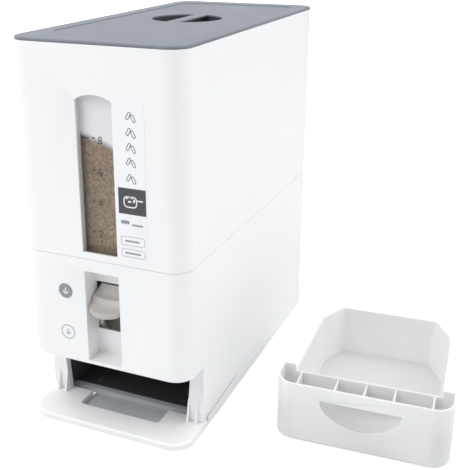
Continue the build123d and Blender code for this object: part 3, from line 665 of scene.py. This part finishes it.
@dataclass(frozen=True)
class Mark:
    """One flat printed shape, by its middle and size in millimetres, seen from the front."""

    x: float
    z: float
    width: float
    height: float
    corner: float = 0.0           # corner radius
    line: float = 0.0             # 0 is filled, else the outline's width
    turn: float = 0.0             # degrees, anticlockwise

    def add_to(self, shape: BMesh, front_mm: float) -> None:
        """Adds the mark as a thin plate.

        Args:
            shape: the bmesh that takes it.
            front_mm: y of the surface it is printed on.
        """
        own = bmesh.new()
        bmesh.ops.create_grid(own, x_segments=1, y_segments=1, size=0.5)
        bmesh.ops.scale(own, verts=own.verts, vec=(self.width * MM, self.height * MM, 1))
        if self.corner:
            reach = min(self.corner, CORNER_SHARE * min(self.width, self.height))
            bmesh.ops.bevel(
                own, geom=own.verts[:], offset=reach * MM, offset_type="OFFSET", segments=6, profile=0.5,
                affect="VERTICES", material=-1,
            )
        if self.line:
            inner = own.faces[:]
            bmesh.ops.inset_region(
                own, faces=inner, thickness=self.line * MM, use_boundary=True, use_even_offset=True
            )
            bmesh.ops.delete(own, geom=inner, context="FACES")
        bmesh.ops.solidify(own, geom=own.faces[:], thickness=INK_MM * MM)
        centre = (min(v.co.z for v in own.verts) + max(v.co.z for v in own.verts)) / 2
        place = (
            Matrix.Translation((self.x * MM, (front_mm - INK_MM / 2) * MM, self.z * MM))
            @ UPRIGHT
            @ Matrix.Rotation(math.radians(self.turn), 4, "Z")
            @ Matrix.Translation((0, 0, -centre))
        )
        bmesh.ops.transform(own, matrix=place, verts=own.verts)
        join(own, shape)


def join(source: BMesh, target: BMesh) -> None:
    """Adds one bmesh to another and frees it.

    Args:
        source: the bmesh that is added.
        target: the bmesh that takes it.
    """
    carrier = bpy.data.meshes.new("carrier")
    source.to_mesh(carrier)
    source.free()
    target.from_mesh(carrier)
    bpy.data.meshes.remove(carrier)


def printed(name: str, marks: Sequence[Mark], body: Body, finish: Material, front_mm: float) -> Object:
    """Makes one piece of several printed marks.

    Args:
        name: the piece's name.
        marks: the shapes.
        body: the body that carries them.
        finish: the ink.
        front_mm: y of the surface they are printed on.

    Returns:
        The new piece.
    """
    shape = bmesh.new()
    for mark in marks:
        mark.add_to(shape, front_mm)
    return finish_piece(name, shape, body, finish, smooth=False)


def numeral(
    name: str,
    text: str,
    x_mm: float,
    z_mm: float,
    height_mm: float,
    body: Body,
    finish: Material,
    front_mm: float,
) -> Object:
    """Prints one plain number, standing on a front surface.

    Args:
        name: the piece's name.
        text: the number.
        x_mm: its middle.
        z_mm: its middle height.
        height_mm: the figures' height.
        body: the body that carries it.
        finish: the ink.
        front_mm: y of the surface it is printed on.

    Returns:
        The new piece.
    """
    letters = bpy.data.curves.new(name + "_outline", "FONT")
    letters.body = text
    letters.align_x, letters.align_y = "CENTER", "CENTER"
    letters.size = height_mm * MM / CAPS_SHARE
    letters.extrude = INK_MM / 2 * MM
    letters.resolution_u = 4
    carrier = linked_object(name + "_outline", letters)
    mesh = bpy.data.meshes.new_from_object(carrier.evaluated_get(bpy.context.evaluated_depsgraph_get()))
    shape = bmesh.new()
    shape.from_mesh(mesh)
    bpy.data.objects.remove(carrier)
    bpy.data.curves.remove(letters)
    bpy.data.meshes.remove(mesh)
    bmesh.ops.remove_doubles(shape, verts=shape.verts, dist=MERGE_MM * MM)
    place = Matrix.Translation((x_mm * MM, (front_mm - INK_MM / 2) * MM, z_mm * MM)) @ UPRIGHT
    bmesh.ops.transform(shape, matrix=place, verts=shape.verts)
    return finish_piece(name, shape, body, finish, smooth=False)


# ---------------------------------------------------------------- sub-assemblies
@dataclass
class Stand:
    """Lower casing with its foot plate, bay and printed signs."""

    finishes: Finishes
    edge_mm: float = 0.45
    sign_x: float = -44.0
    sign_front: float = -200.0
    fill_z: float = 158.0
    release_z: float = 110.0
    shaft_lift: float = 1.2       # the arrow's shaft stands this far above the sign's middle
    # shaft: width and height; barb: width and length, then how far it stands out and down
    fill_shaft: tuple[float, float] = (1.5, 4.6)
    fill_barb: tuple[float, float, float, float] = (1.4, 4.4, 1.5, 2.0)
    release_shaft: tuple[float, float] = (1.1, 5.0)
    release_barb: tuple[float, float, float, float] = (1.0, 4.0, 1.4, 1.6)

    def build(self) -> None:
        """Builds the casing's rounded pieces and dresses the rest."""
        f = self.finishes
        rounded_copy("lower_casing", "stand_shell", Body.STAND, f.casing, self.edge_mm)
        rounded_copy("foot_plate", "base_frame", Body.STAND, f.casing, self.edge_mm)
        for node, finish in {
            "bottom_pan": f.pan, "drawer_rails": f.dark, "bay_liner": f.dark,
            "measure_badge": f.ink_grey, "release_badge": f.ink_grey, "meter_housing": f.acetal,
            "housing_cap": f.acetal, "cap_screws": f.steel, "shaft_bushes": f.acetal,
            "inlet_gasket": f.seal, "return_spring": f.steel,
        }.items():
            dress(node, finish)
        self.signs()

    def arrow(
        self, z: float, shaft: tuple[float, float], barb: tuple[float, float, float, float]
    ) -> list[Mark]:
        """Draws a plain arrow that points down.

        Args:
            z: height of the sign's middle.
            shaft: the shaft's sizes.
            barb: each barb's sizes and place.

        Returns:
            The shaft and both barbs.
        """
        width, length, out, down = barb
        return [
            Mark(self.sign_x, z + self.shaft_lift, *shaft),
            Mark(self.sign_x - out, z - down, width, length, turn=45),
            Mark(self.sign_x + out, z - down, width, length, turn=-45),
        ]

    def signs(self) -> None:
        """Prints a plain arrow on each round sign, white on the filled one and grey in the outlined one."""
        f = self.finishes
        fill_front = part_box("measure_badge")[0].y / MM
        fill = self.arrow(self.fill_z, self.fill_shaft, self.fill_barb)
        printed("fill_arrow", fill, Body.STAND, f.ink_white, fill_front)
        release = self.arrow(self.release_z, self.release_shaft, self.release_barb)
        printed("release_arrow", release, Body.STAND, f.ink_grey, self.sign_front)


@dataclass
class MeasuringLever:
    """Rotor, shaft and the push lever: a concave arm that runs out into a dished, round-fronted paddle."""

    finishes: Finishes
    across: int = 14              # strips across the sheet
    skin_mm: float = 3.2
    round_mid: float = -178.4     # centre of the paddle's round front
    round_r: float = 26.4
    crease: float = -188.6        # y where arm and paddle meet
    crease_row: int = 5
    crease_weight: float = 0.85   # how crisp the fold between them stays
    same_row: float = 0.01        # grid heights closer than this are one row
    root_cut: float = -184.0      # the CAD lever is kept behind this
    # side view of the touched surface, from the arm's top edge to the paddle's lip: y, z, half width, dish
    path: tuple[tuple[float, float, float, float], ...] = (
        (-175.0, 162.0, 16.0, 1.0), (-176.0, 160.2, 16.1, 1.4), (-178.4, 156.6, 16.4, 2.2),
        (-181.6, 153.4, 17.5, 2.8), (-185.2, 151.2, 18.5, 2.8), (-188.6, 150.4, 19.0, 2.2),
        (-190.0, 148.6, 19.0, 1.8), (-194.0, 144.9, 19.0, 2.2), (-198.6, 142.4, 19.1, 2.6),
        (-202.4, 141.2, 19.1, 2.6), (-204.7, 140.0, 19.1, 2.4), (-205.2, 137.6, 19.1, 2.2),
        (-204.2, 135.2, 18.8, 2.0),
    )

    def build(self) -> None:
        """Models the lever's touched surface, keeps its root and dresses the running parts."""
        f = self.finishes
        root = self.root()
        skin = self.skin()
        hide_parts("push_lever")
        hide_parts("push_lever")
        dress("metering_rotor", f.acetal)
        dress("rotor_shaft", f.steel)
        dress("lever_screws", f.steel)

    def root(self) -> Object:
        """Keeps the lever's screwed root behind the paddle.

        Returns:
            The new piece.
        """
        shape = merged_copy("push_lever")
        cut = bmesh.ops.bisect_plane(
            shape, geom=shape.verts[:] + shape.edges[:] + shape.faces[:],
            plane_co=(0, self.root_cut * MM, 0), plane_no=(0, -1, 0), clear_outer=True,
        )
        rim = [part for part in cut["geom_cut"] if isinstance(part, BMEdge)]
        bmesh.ops.holes_fill(shape, edges=rim, sides=0)
        return finish_piece("lever_root", shape, Body.ROTOR, self.finishes.lever)

    def skin(self) -> Object:
        """Bends a sheet along the side view, dishes it and gives it its thickness.

        Returns:
            The new piece.
        """
        rows = len(self.path)
        shape = bmesh.new()
        bmesh.ops.create_grid(shape, x_segments=self.across, y_segments=rows - 1, size=1.0)
        crisp = shape.edges.layers.float.new("crease_edge")
        height = 1 - 2 * self.crease_row / (rows - 1)
        for edge in shape.edges:
            if all(abs(vert.co.y - height) < self.same_row for vert in edge.verts):
                edge[crisp] = self.crease_weight
        for vert in shape.verts:
            share = vert.co.x
            y, z, half, dish = self.path[round((1 - vert.co.y) / 2 * (rows - 1))]
            x = share * half
            if y < self.crease:
                front = self.round_mid - math.sqrt(self.round_r**2 - x**2)
                y = self.crease + (y - self.crease) * (front - self.crease) / (self.path[-1][0] - self.crease)
            vert.co = Vector((x, y, z + dish * share**2)) * MM
        bmesh.ops.recalc_face_normals(shape, faces=shape.faces)
        if sum(face.normal.z for face in shape.faces) < 0:
            bmesh.ops.reverse_faces(shape, faces=shape.faces)
        bmesh.ops.solidify(shape, geom=shape.faces[:], thickness=self.skin_mm * MM)
        piece = finish_piece("lever_paddle", shape, Body.ROTOR, self.finishes.lever)
        for edge in piece.data.edges:
            edge.use_edge_sharp = False
        smooth = piece.modifiers.new("soft skin", "SUBSURF")
        smooth.levels = smooth.render_levels = 2
        return piece


@dataclass
class RiceFill:
    """Stored rice: a bed with loose grains on its surface and against the window."""

    finishes: Finishes
    seed: int = 7
    length_mm: float = 5.0
    width_mm: float = 2.3
    flat: float = 0.85            # a grain's thickness over its width
    set_back_mm: float = 1.5      # room for the grains between the bed and the pane
    pocket_half: float = 25.0     # the bed's side behind the window lies within this of the middle
    pocket_y: float = -186.0      # and in front of this
    ray_top: float = 400.0        # the bed's height is looked for from here down
    # grains on the open surface
    top_count: int = 5200
    top_x: float = 86.0
    top_y: float = 190.0
    top_low: float = 300.0        # what lies lower isn't the open surface
    corner_x: float = 64.0        # middle of the tank's round inner corner
    corner_y: float = 168.0
    corner_r: float = 20.0
    channel_half: float = 26.0    # no grain lies where the window's channel stands
    channel_y: float = -183.0
    top_lift: float = 0.35        # a grain's middle above the bed
    top_turns: tuple[tuple[float, float], ...] = ((-0.3, 0.3), (-0.35, 0.35), (0, math.tau))
    top_sizes: tuple[float, float] = (0.86, 1.1)
    # grains against the pane
    window_count: int = 900
    window_half: float = 19.0
    window_low: float = 209.0
    window_high: float = 331.0
    window_gap: float = 1.55      # a grain's middle behind the pane
    window_probe: float = 6.0     # the bed's height is taken this far behind the pane
    window_cover: float = 1.0     # and the grains end this far below it
    window_turns: tuple[tuple[float, float], ...] = ((-0.15, 0.15), (0, math.tau), (-0.12, 0.12))
    window_sizes: tuple[float, float] = (0.85, 1.05)
    surface: BVHTree | None = None

    def build(self) -> None:
        """Builds the bed and its grains."""
        shape = merged_copy("rice_fill")
        half, front = self.pocket_half * MM, self.pocket_y * MM
        pocket = [v for v in shape.verts if abs(v.co.x) < half and v.co.y < front]
        bmesh.ops.translate(shape, verts=pocket, vec=(0, self.set_back_mm * MM, 0))
        self.surface = BVHTree.FromBMesh(shape)
        bed = finish_piece("rice_bed", shape, Body.TANK, self.finishes.rice_bed)
        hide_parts("rice_fill")
        self.scatter_top()
        self.scatter_window()

    def grain(self) -> tuple[list[Vector], list[tuple[int, ...]]]:
        """Models one grain.

        Returns:
            Its vertices, long axis along X, and its faces.
        """
        own = bmesh.new()
        bmesh.ops.create_icosphere(own, subdivisions=1, radius=0.5)
        thickness_mm = self.width_mm * self.flat
        bmesh.ops.scale(
            own, verts=own.verts, vec=(self.length_mm * MM, self.width_mm * MM, thickness_mm * MM)
        )
        corners = [v.co.copy() for v in own.verts]
        faces = [tuple(v.index for v in face.verts) for face in own.faces]
        own.free()
        return corners, faces

    def level(self, x_mm: float, y_mm: float) -> float:
        """Gives the height of the bed's surface.

        Args:
            x_mm: place across.
            y_mm: place front to back.

        Returns:
            Height in millimetres, 0 beside the bed.
        """
        start = Vector((x_mm * MM, y_mm * MM, self.ray_top * MM))
        spot = self.surface.ray_cast(start, Vector((0, 0, -1)))[0]
        return spot.z / MM if spot else 0.0

    def is_open(self, x_mm: float, y_mm: float) -> bool:
        """Tells whether a place lies within the tank's round corners and clear of the window's channel.

        Args:
            x_mm: place across.
            y_mm: place front to back.

        Returns:
            True where a grain may lie.
        """
        over = math.hypot(max(abs(x_mm) - self.corner_x, 0), max(abs(y_mm) - self.corner_y, 0))
        in_channel = abs(x_mm) < self.channel_half and y_mm < self.channel_y
        return over <= self.corner_r and not in_channel

    @staticmethod
    def settle(
        chance: random.Random,
        spot_mm: tuple[float, float, float],
        turns: Sequence[tuple[float, float]],
        sizes: tuple[float, float],
    ) -> Matrix:
        """Draws how one grain lies.

        Args:
            chance: the source of random numbers.
            spot_mm: its middle.
            turns: range of its turn about X, Y and Z, in radians.
            sizes: range of its size.

        Returns:
            The grain's matrix.
        """
        turn = Euler([chance.uniform(low, high) for low, high in turns])
        size = chance.uniform(*sizes)
        place = Matrix.Translation([step * MM for step in spot_mm])
        return place @ turn.to_matrix().to_4x4() @ Matrix.Scale(size, 4)

    def scatter(self, name: str, places: Sequence[Matrix]) -> Object:
        """Sets grains at the given places.

        Args:
            name: the piece's name.
            places: one matrix for each grain.

        Returns:
            The new piece.
        """
        corners, faces = self.grain()
        spots = [place @ corner for place in places for corner in corners]
        count = len(corners)
        joined = [tuple(i + k * count for i in face) for k in range(len(places)) for face in faces]
        mesh = bpy.data.meshes.new(name)
        mesh.from_pydata(spots, [], joined)
        mesh.polygons.foreach_set("use_smooth", [True] * len(mesh.polygons))
        mesh.materials.append(self.finishes.rice)
        piece = linked_object(name, mesh)
        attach(piece, Body.TANK.value)
        LOG.info("%s: %d grains", name, len(places))
        return piece

    def scatter_top(self) -> None:
        """Lays grains over the bed's open surface."""
        chance = random.Random(self.seed)
        places = []
        while len(places) < self.top_count:
            x, y = chance.uniform(-self.top_x, self.top_x), chance.uniform(-self.top_y, self.top_y)
            z = self.level(x, y)
            if z >= self.top_low and self.is_open(x, y):
                places.append(self.settle(chance, (x, y, z + self.top_lift), self.top_turns, self.top_sizes))
        self.scatter("rice_top_grains", places)

    def scatter_window(self) -> None:
        """Packs grains against the back of the window."""
        chance = random.Random(self.seed + 1)
        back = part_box("window_pane")[1].y / MM
        places = []
        while len(places) < self.window_count:
            x = chance.uniform(-self.window_half, self.window_half)
            z = chance.uniform(self.window_low, self.window_high)
            if z <= self.level(x, back + self.window_probe) - self.window_cover:
                spot = (x, back + self.window_gap, z)
                places.append(self.settle(chance, spot, self.window_turns, self.window_sizes))
        self.scatter("rice_window_grains", places)


@dataclass
class Tank:
    """Lift-off upper casing with its level window, scale and label."""

    finishes: Finishes
    edge_mm: float = 0.45
    channel_edge_mm: float = 0.4
    pane_front: float = -191.0
    numeral_off: tuple[float, float] = (7.6, -2.0)      # from the dot to its number
    numeral_h: float = 7.6
    scale_step: float = 32.6
    scale_low: tuple[float, float] = (-11.0, 226.0)
    scale_lean: float = 1.45      # each dot stands this far to the right of the one below
    label_front: float = -200.25
    sheet_mid: float = 38.6
    # printed marks: length, width, corner and line of an outlined grain; the same of a filled one
    husk: tuple[float, float, float, float] = (8.2, 3.4, 1.7, 0.7)
    kernel: tuple[float, float, float, float] = (4.0, 1.8, 0.9, 0.0)
    column_rows: tuple[float, ...] = (350.0, 334.7, 320.2, 306.0, 289.8)
    column_off: float = 1.4
    column_lean: float = 0.35     # each pair stands this far to the left of the one above
    scooped: tuple[tuple[float, float, float], ...] = (
        (-4.5, 271.0, 35), (-0.5, 271.6, -20), (2.6, 268.4, 70), (-2.2, 267.3, 5),
    )

    def build(self) -> None:
        """Builds the casing, window and prints."""
        f = self.finishes
        rounded_copy("upper_casing", "tank_shell", Body.TANK, f.casing, self.edge_mm)
        rounded_copy(
            "window_channel", "window_frame", Body.TANK, f.channel, self.channel_edge_mm
        )
        dress("window_pane", f.pane)
        dress("scale_dots", f.ink_scale)
        dress("hopper", f.acetal)
        dress("front_label", f.film)
        self.scale_numbers()
        self.label_print()

    def scale_numbers(self) -> None:
        """Prints a plain number beside each dot of the level scale."""
        x0, z0 = self.scale_low
        for step, text in enumerate(("2", "4", "6", "8")):
            x = x0 + self.scale_lean * step + self.numeral_off[0]
            z = z0 + self.scale_step * step + self.numeral_off[1]
            numeral(
                f"scale_number_{text}", text, x, z, self.numeral_h, Body.TANK,
                self.finishes.ink_scale, self.pane_front,
            )

    def label_print(self) -> None:
        """Prints the label: a grain column, a dark field with a scoop, two bars and two outlined fields."""
        f, x, front = self.finishes, self.sheet_mid, self.label_front
        column = []
        for row, z in enumerate(self.column_rows):
            mid = x + self.column_off - self.column_lean * row
            column += [Mark(mid - 2.2, z + 1.6, *self.husk, 62), Mark(mid + 2.8, z - 0.4, *self.husk, 118)]
        printed("label_grain_column", column, Body.TANK, f.ink_dark, front)
        printed("label_field", [Mark(x + 0.5, 267.5, 30.0, 26.6)], Body.TANK, f.ink_dark, front)
        bowl, handle = Mark(x - 1.5, 267.0, 15.0, 12.0, 4.5, 1.3), Mark(x + 9.0, 269.0, 6.5, 1.5, 0.7)
        grains = [Mark(x + off, z, *self.kernel, turn) for off, z, turn in self.scooped]
        printed("label_scoop", [bowl, handle, *grains], Body.TANK, f.ink_white, front - INK_MM)
        bars = [Mark(x - 7.8, 245.6, 9.4, 3.6, 0.9), Mark(x + 5.6, 243.6, 12.4, 1.8, 0.7)]
        fields = [Mark(x, 226.2, 26.4, 9.6, 2.0, 0.45), Mark(x, 213.4, 26.4, 8.6, 2.0, 0.45)]
        rules = [Mark(x - 1.0, 226.2, 16.0, 1.8, 0.8), Mark(x - 0.5, 213.4, 18.0, 1.8, 0.8)]
        printed("label_lines", [*bars, *fields, *rules], Body.TANK, f.ink_grey, front)


@dataclass
class Lid:
    """Grey lid with its dark finger cup and soft ring."""

    finishes: Finishes
    edge_mm: float = 0.6

    def build(self) -> None:
        """Rounds the lid's edges and dresses its cup and seal."""
        f = self.finishes
        rounded_copy("lid", "lid_cover", Body.LID, f.lid, self.edge_mm)
        dress("grip_cup", f.dark)
        dress("lid_seal", f.seal)


@dataclass
class Drawer:
    """White drawer with its front compartment and half-moon pull."""

    finishes: Finishes
    edge_mm: float = 0.6

    def build(self) -> None:
        """Rounds the drawer's rims."""
        finish = self.finishes.drawer
        rounded_copy("rice_drawer", "drawer", Body.DRAWER, finish, self.edge_mm)


@dataclass
class Studio:
    """Pale floor, plain soft light and the camera at the photograph's place."""

    focal_px: float = 803.6935
    middle_px: tuple[float, float] = (208.7746, 203.8931)
    eye: tuple[float, float, float] = (0.398123, -0.838072, 0.521414)
    right: tuple[float, float, float] = (0.916523977, 0.399976346, -0.001649987)
    up: tuple[float, float, float] = (-0.131217982, 0.304570605, 0.943407965)
    back: tuple[float, float, float] = (0.377843408, -0.864439511, 0.331630351)
    sky: float = 0.56
    # each soft box: name, place, side and watts
    lamps: tuple[tuple[str, tuple[float, float, float], float, float], ...] = (
        ("key_lamp", (-1.1, -1.6, 1.8), 1.7, 26.0),
        ("side_lamp", (1.8, 0.5, 1.3), 1.5, 16.0),
        ("top_lamp", (0.2, 0.1, 2.2), 1.8, 14.0),
        ("back_lamp", (-1.9, 0.6, 1.1), 1.6, 9.0),
    )
    aim: tuple[float, float, float] = (0.05, -0.05, 0.2)
    floor_half: float = 12.0
    glow_reach: tuple[float, float] = (0.35, 0.9)       # the floor's glow grows between these distances
    glow: tuple[float, float] = (0.36, 1.2)             # from the first strength to the second

    def build(self) -> None:
        """Builds the camera, world, lamps and floor."""
        self.camera()
        self.world()
        for name, place, size, power in self.lamps:
            self.lamp(name, place, size, power)
        self.floor()
        bpy.context.scene.view_settings.view_transform = "Standard"

    def camera(self) -> None:
        """Sets the camera where the photograph was taken from."""
        lens = bpy.data.cameras.new("photo_camera")
        lens.sensor_fit = "HORIZONTAL"
        lens.sensor_width = 36.0
        lens.lens = self.focal_px / IMAGE_SIDE * lens.sensor_width
        lens.shift_x = (IMAGE_SIDE / 2 - self.middle_px[0]) / IMAGE_SIDE
        lens.shift_y = (self.middle_px[1] - IMAGE_SIDE / 2) / IMAGE_SIDE
        lens.clip_start, lens.clip_end = 0.05, 30.0
        camera = linked_object("photo_camera", lens)
        turn = Matrix((self.right, self.up, self.back)).transposed().to_4x4()
        camera.matrix_world = Matrix.Translation(self.eye) @ turn
        bpy.context.scene.camera = camera

    def world(self) -> None:
        """Lights evenly from all round, with a white background for the camera, gloss and glass."""
        world = bpy.data.worlds.new("studio_world")
        world.use_nodes = True
        tree = world.node_tree
        tree.nodes.clear()
        path = add_node(tree, "ShaderNodeLightPath")
        soft = add_node(
            tree, "ShaderNodeMath", {"operation": "MAXIMUM"},
            {0: path.outputs["Is Glossy Ray"], 1: path.outputs["Is Transmission Ray"]},
        )
        seen = add_node(
            tree, "ShaderNodeMath", {"operation": "MAXIMUM"},
            {0: path.outputs["Is Camera Ray"], 1: soft.outputs["Value"]},
        )
        plain = add_node(tree, "ShaderNodeBackground", {"Color": srgb("#FDFEFF"), "Strength": self.sky})
        white = add_node(tree, "ShaderNodeBackground", {"Color": srgb("#FFFFFF"), "Strength": 1.0})
        choice = add_node(
            tree, "ShaderNodeMixShader",
            links={0: seen.outputs["Value"], 1: plain.outputs["Background"], 2: white.outputs["Background"]},
        )
        add_node(tree, "ShaderNodeOutputWorld", links={"Surface": choice.outputs["Shader"]})
        bpy.context.scene.world = world

    def lamp(self, name: str, place: tuple[float, float, float], size: float, power: float) -> None:
        """Hangs one square soft box that looks at the dispenser.

        Args:
            name: the lamp's name.
            place: where it hangs, in metres.
            size: its side, in metres.
            power: its power, in watts.
        """
        box = bpy.data.lights.new(name, "AREA")
        box.size, box.energy = size, power
        lamp = linked_object(name, box)
        lamp.location = place
        lamp.rotation_euler = (Vector(self.aim) - Vector(place)).to_track_quat("-Z", "Y").to_euler()

    def floor(self) -> None:
        """Lays a white floor that keeps the dispenser's soft shadow and fades to white far off."""
        shape = bmesh.new()
        bmesh.ops.create_grid(shape, x_segments=1, y_segments=1, size=self.floor_half)
        mesh = bpy.data.meshes.new("studio_floor")
        shape.to_mesh(mesh)
        shape.free()
        paper = blank_material("paper_white_floor")
        tree = paper.node_tree
        path = add_node(tree, "ShaderNodeLightPath")
        matt = add_node(tree, "ShaderNodeBsdfDiffuse", {"Color": srgb("#EDEEEF")})
        place = add_node(tree, "ShaderNodeTexCoord").outputs["Object"]
        away = add_node(tree, "ShaderNodeVectorMath", {"operation": "LENGTH"}, {0: place})
        near, far = self.glow_reach
        faint, full = self.glow
        fade = add_node(
            tree, "ShaderNodeMapRange", {"From Min": near, "From Max": far, "To Min": faint, "To Max": full},
            {"Value": away.outputs["Value"]},
        )
        glow = add_node(
            tree, "ShaderNodeEmission", {"Color": srgb("#FFFFFF")}, {"Strength": fade.outputs["Result"]}
        )
        lit = add_node(
            tree, "ShaderNodeAddShader", links={0: matt.outputs["BSDF"], 1: glow.outputs["Emission"]}
        )
        choice = add_node(
            tree, "ShaderNodeMixShader",
            links={0: path.outputs["Is Camera Ray"], 1: matt.outputs["BSDF"], 2: lit.outputs["Shader"]},
        )
        add_node(tree, "ShaderNodeOutputMaterial", links={"Surface": choice.outputs["Shader"]})
        mesh.materials.append(paper)
        floor = linked_object("studio_floor", mesh)


def main() -> None:
    """Builds the sub-assemblies in order."""
    logging.basicConfig(level=logging.INFO, format="%(name)s: %(message)s")
    finishes = Finishes()
    for kind in (Stand, MeasuringLever, Tank, RiceFill, Lid, Drawer):
        kind(finishes).build()
        LOG.info("%s is built", kind.__name__)
    Studio().build()
    bpy.context.view_layer.update()


if __name__ == "__main__":
    main()
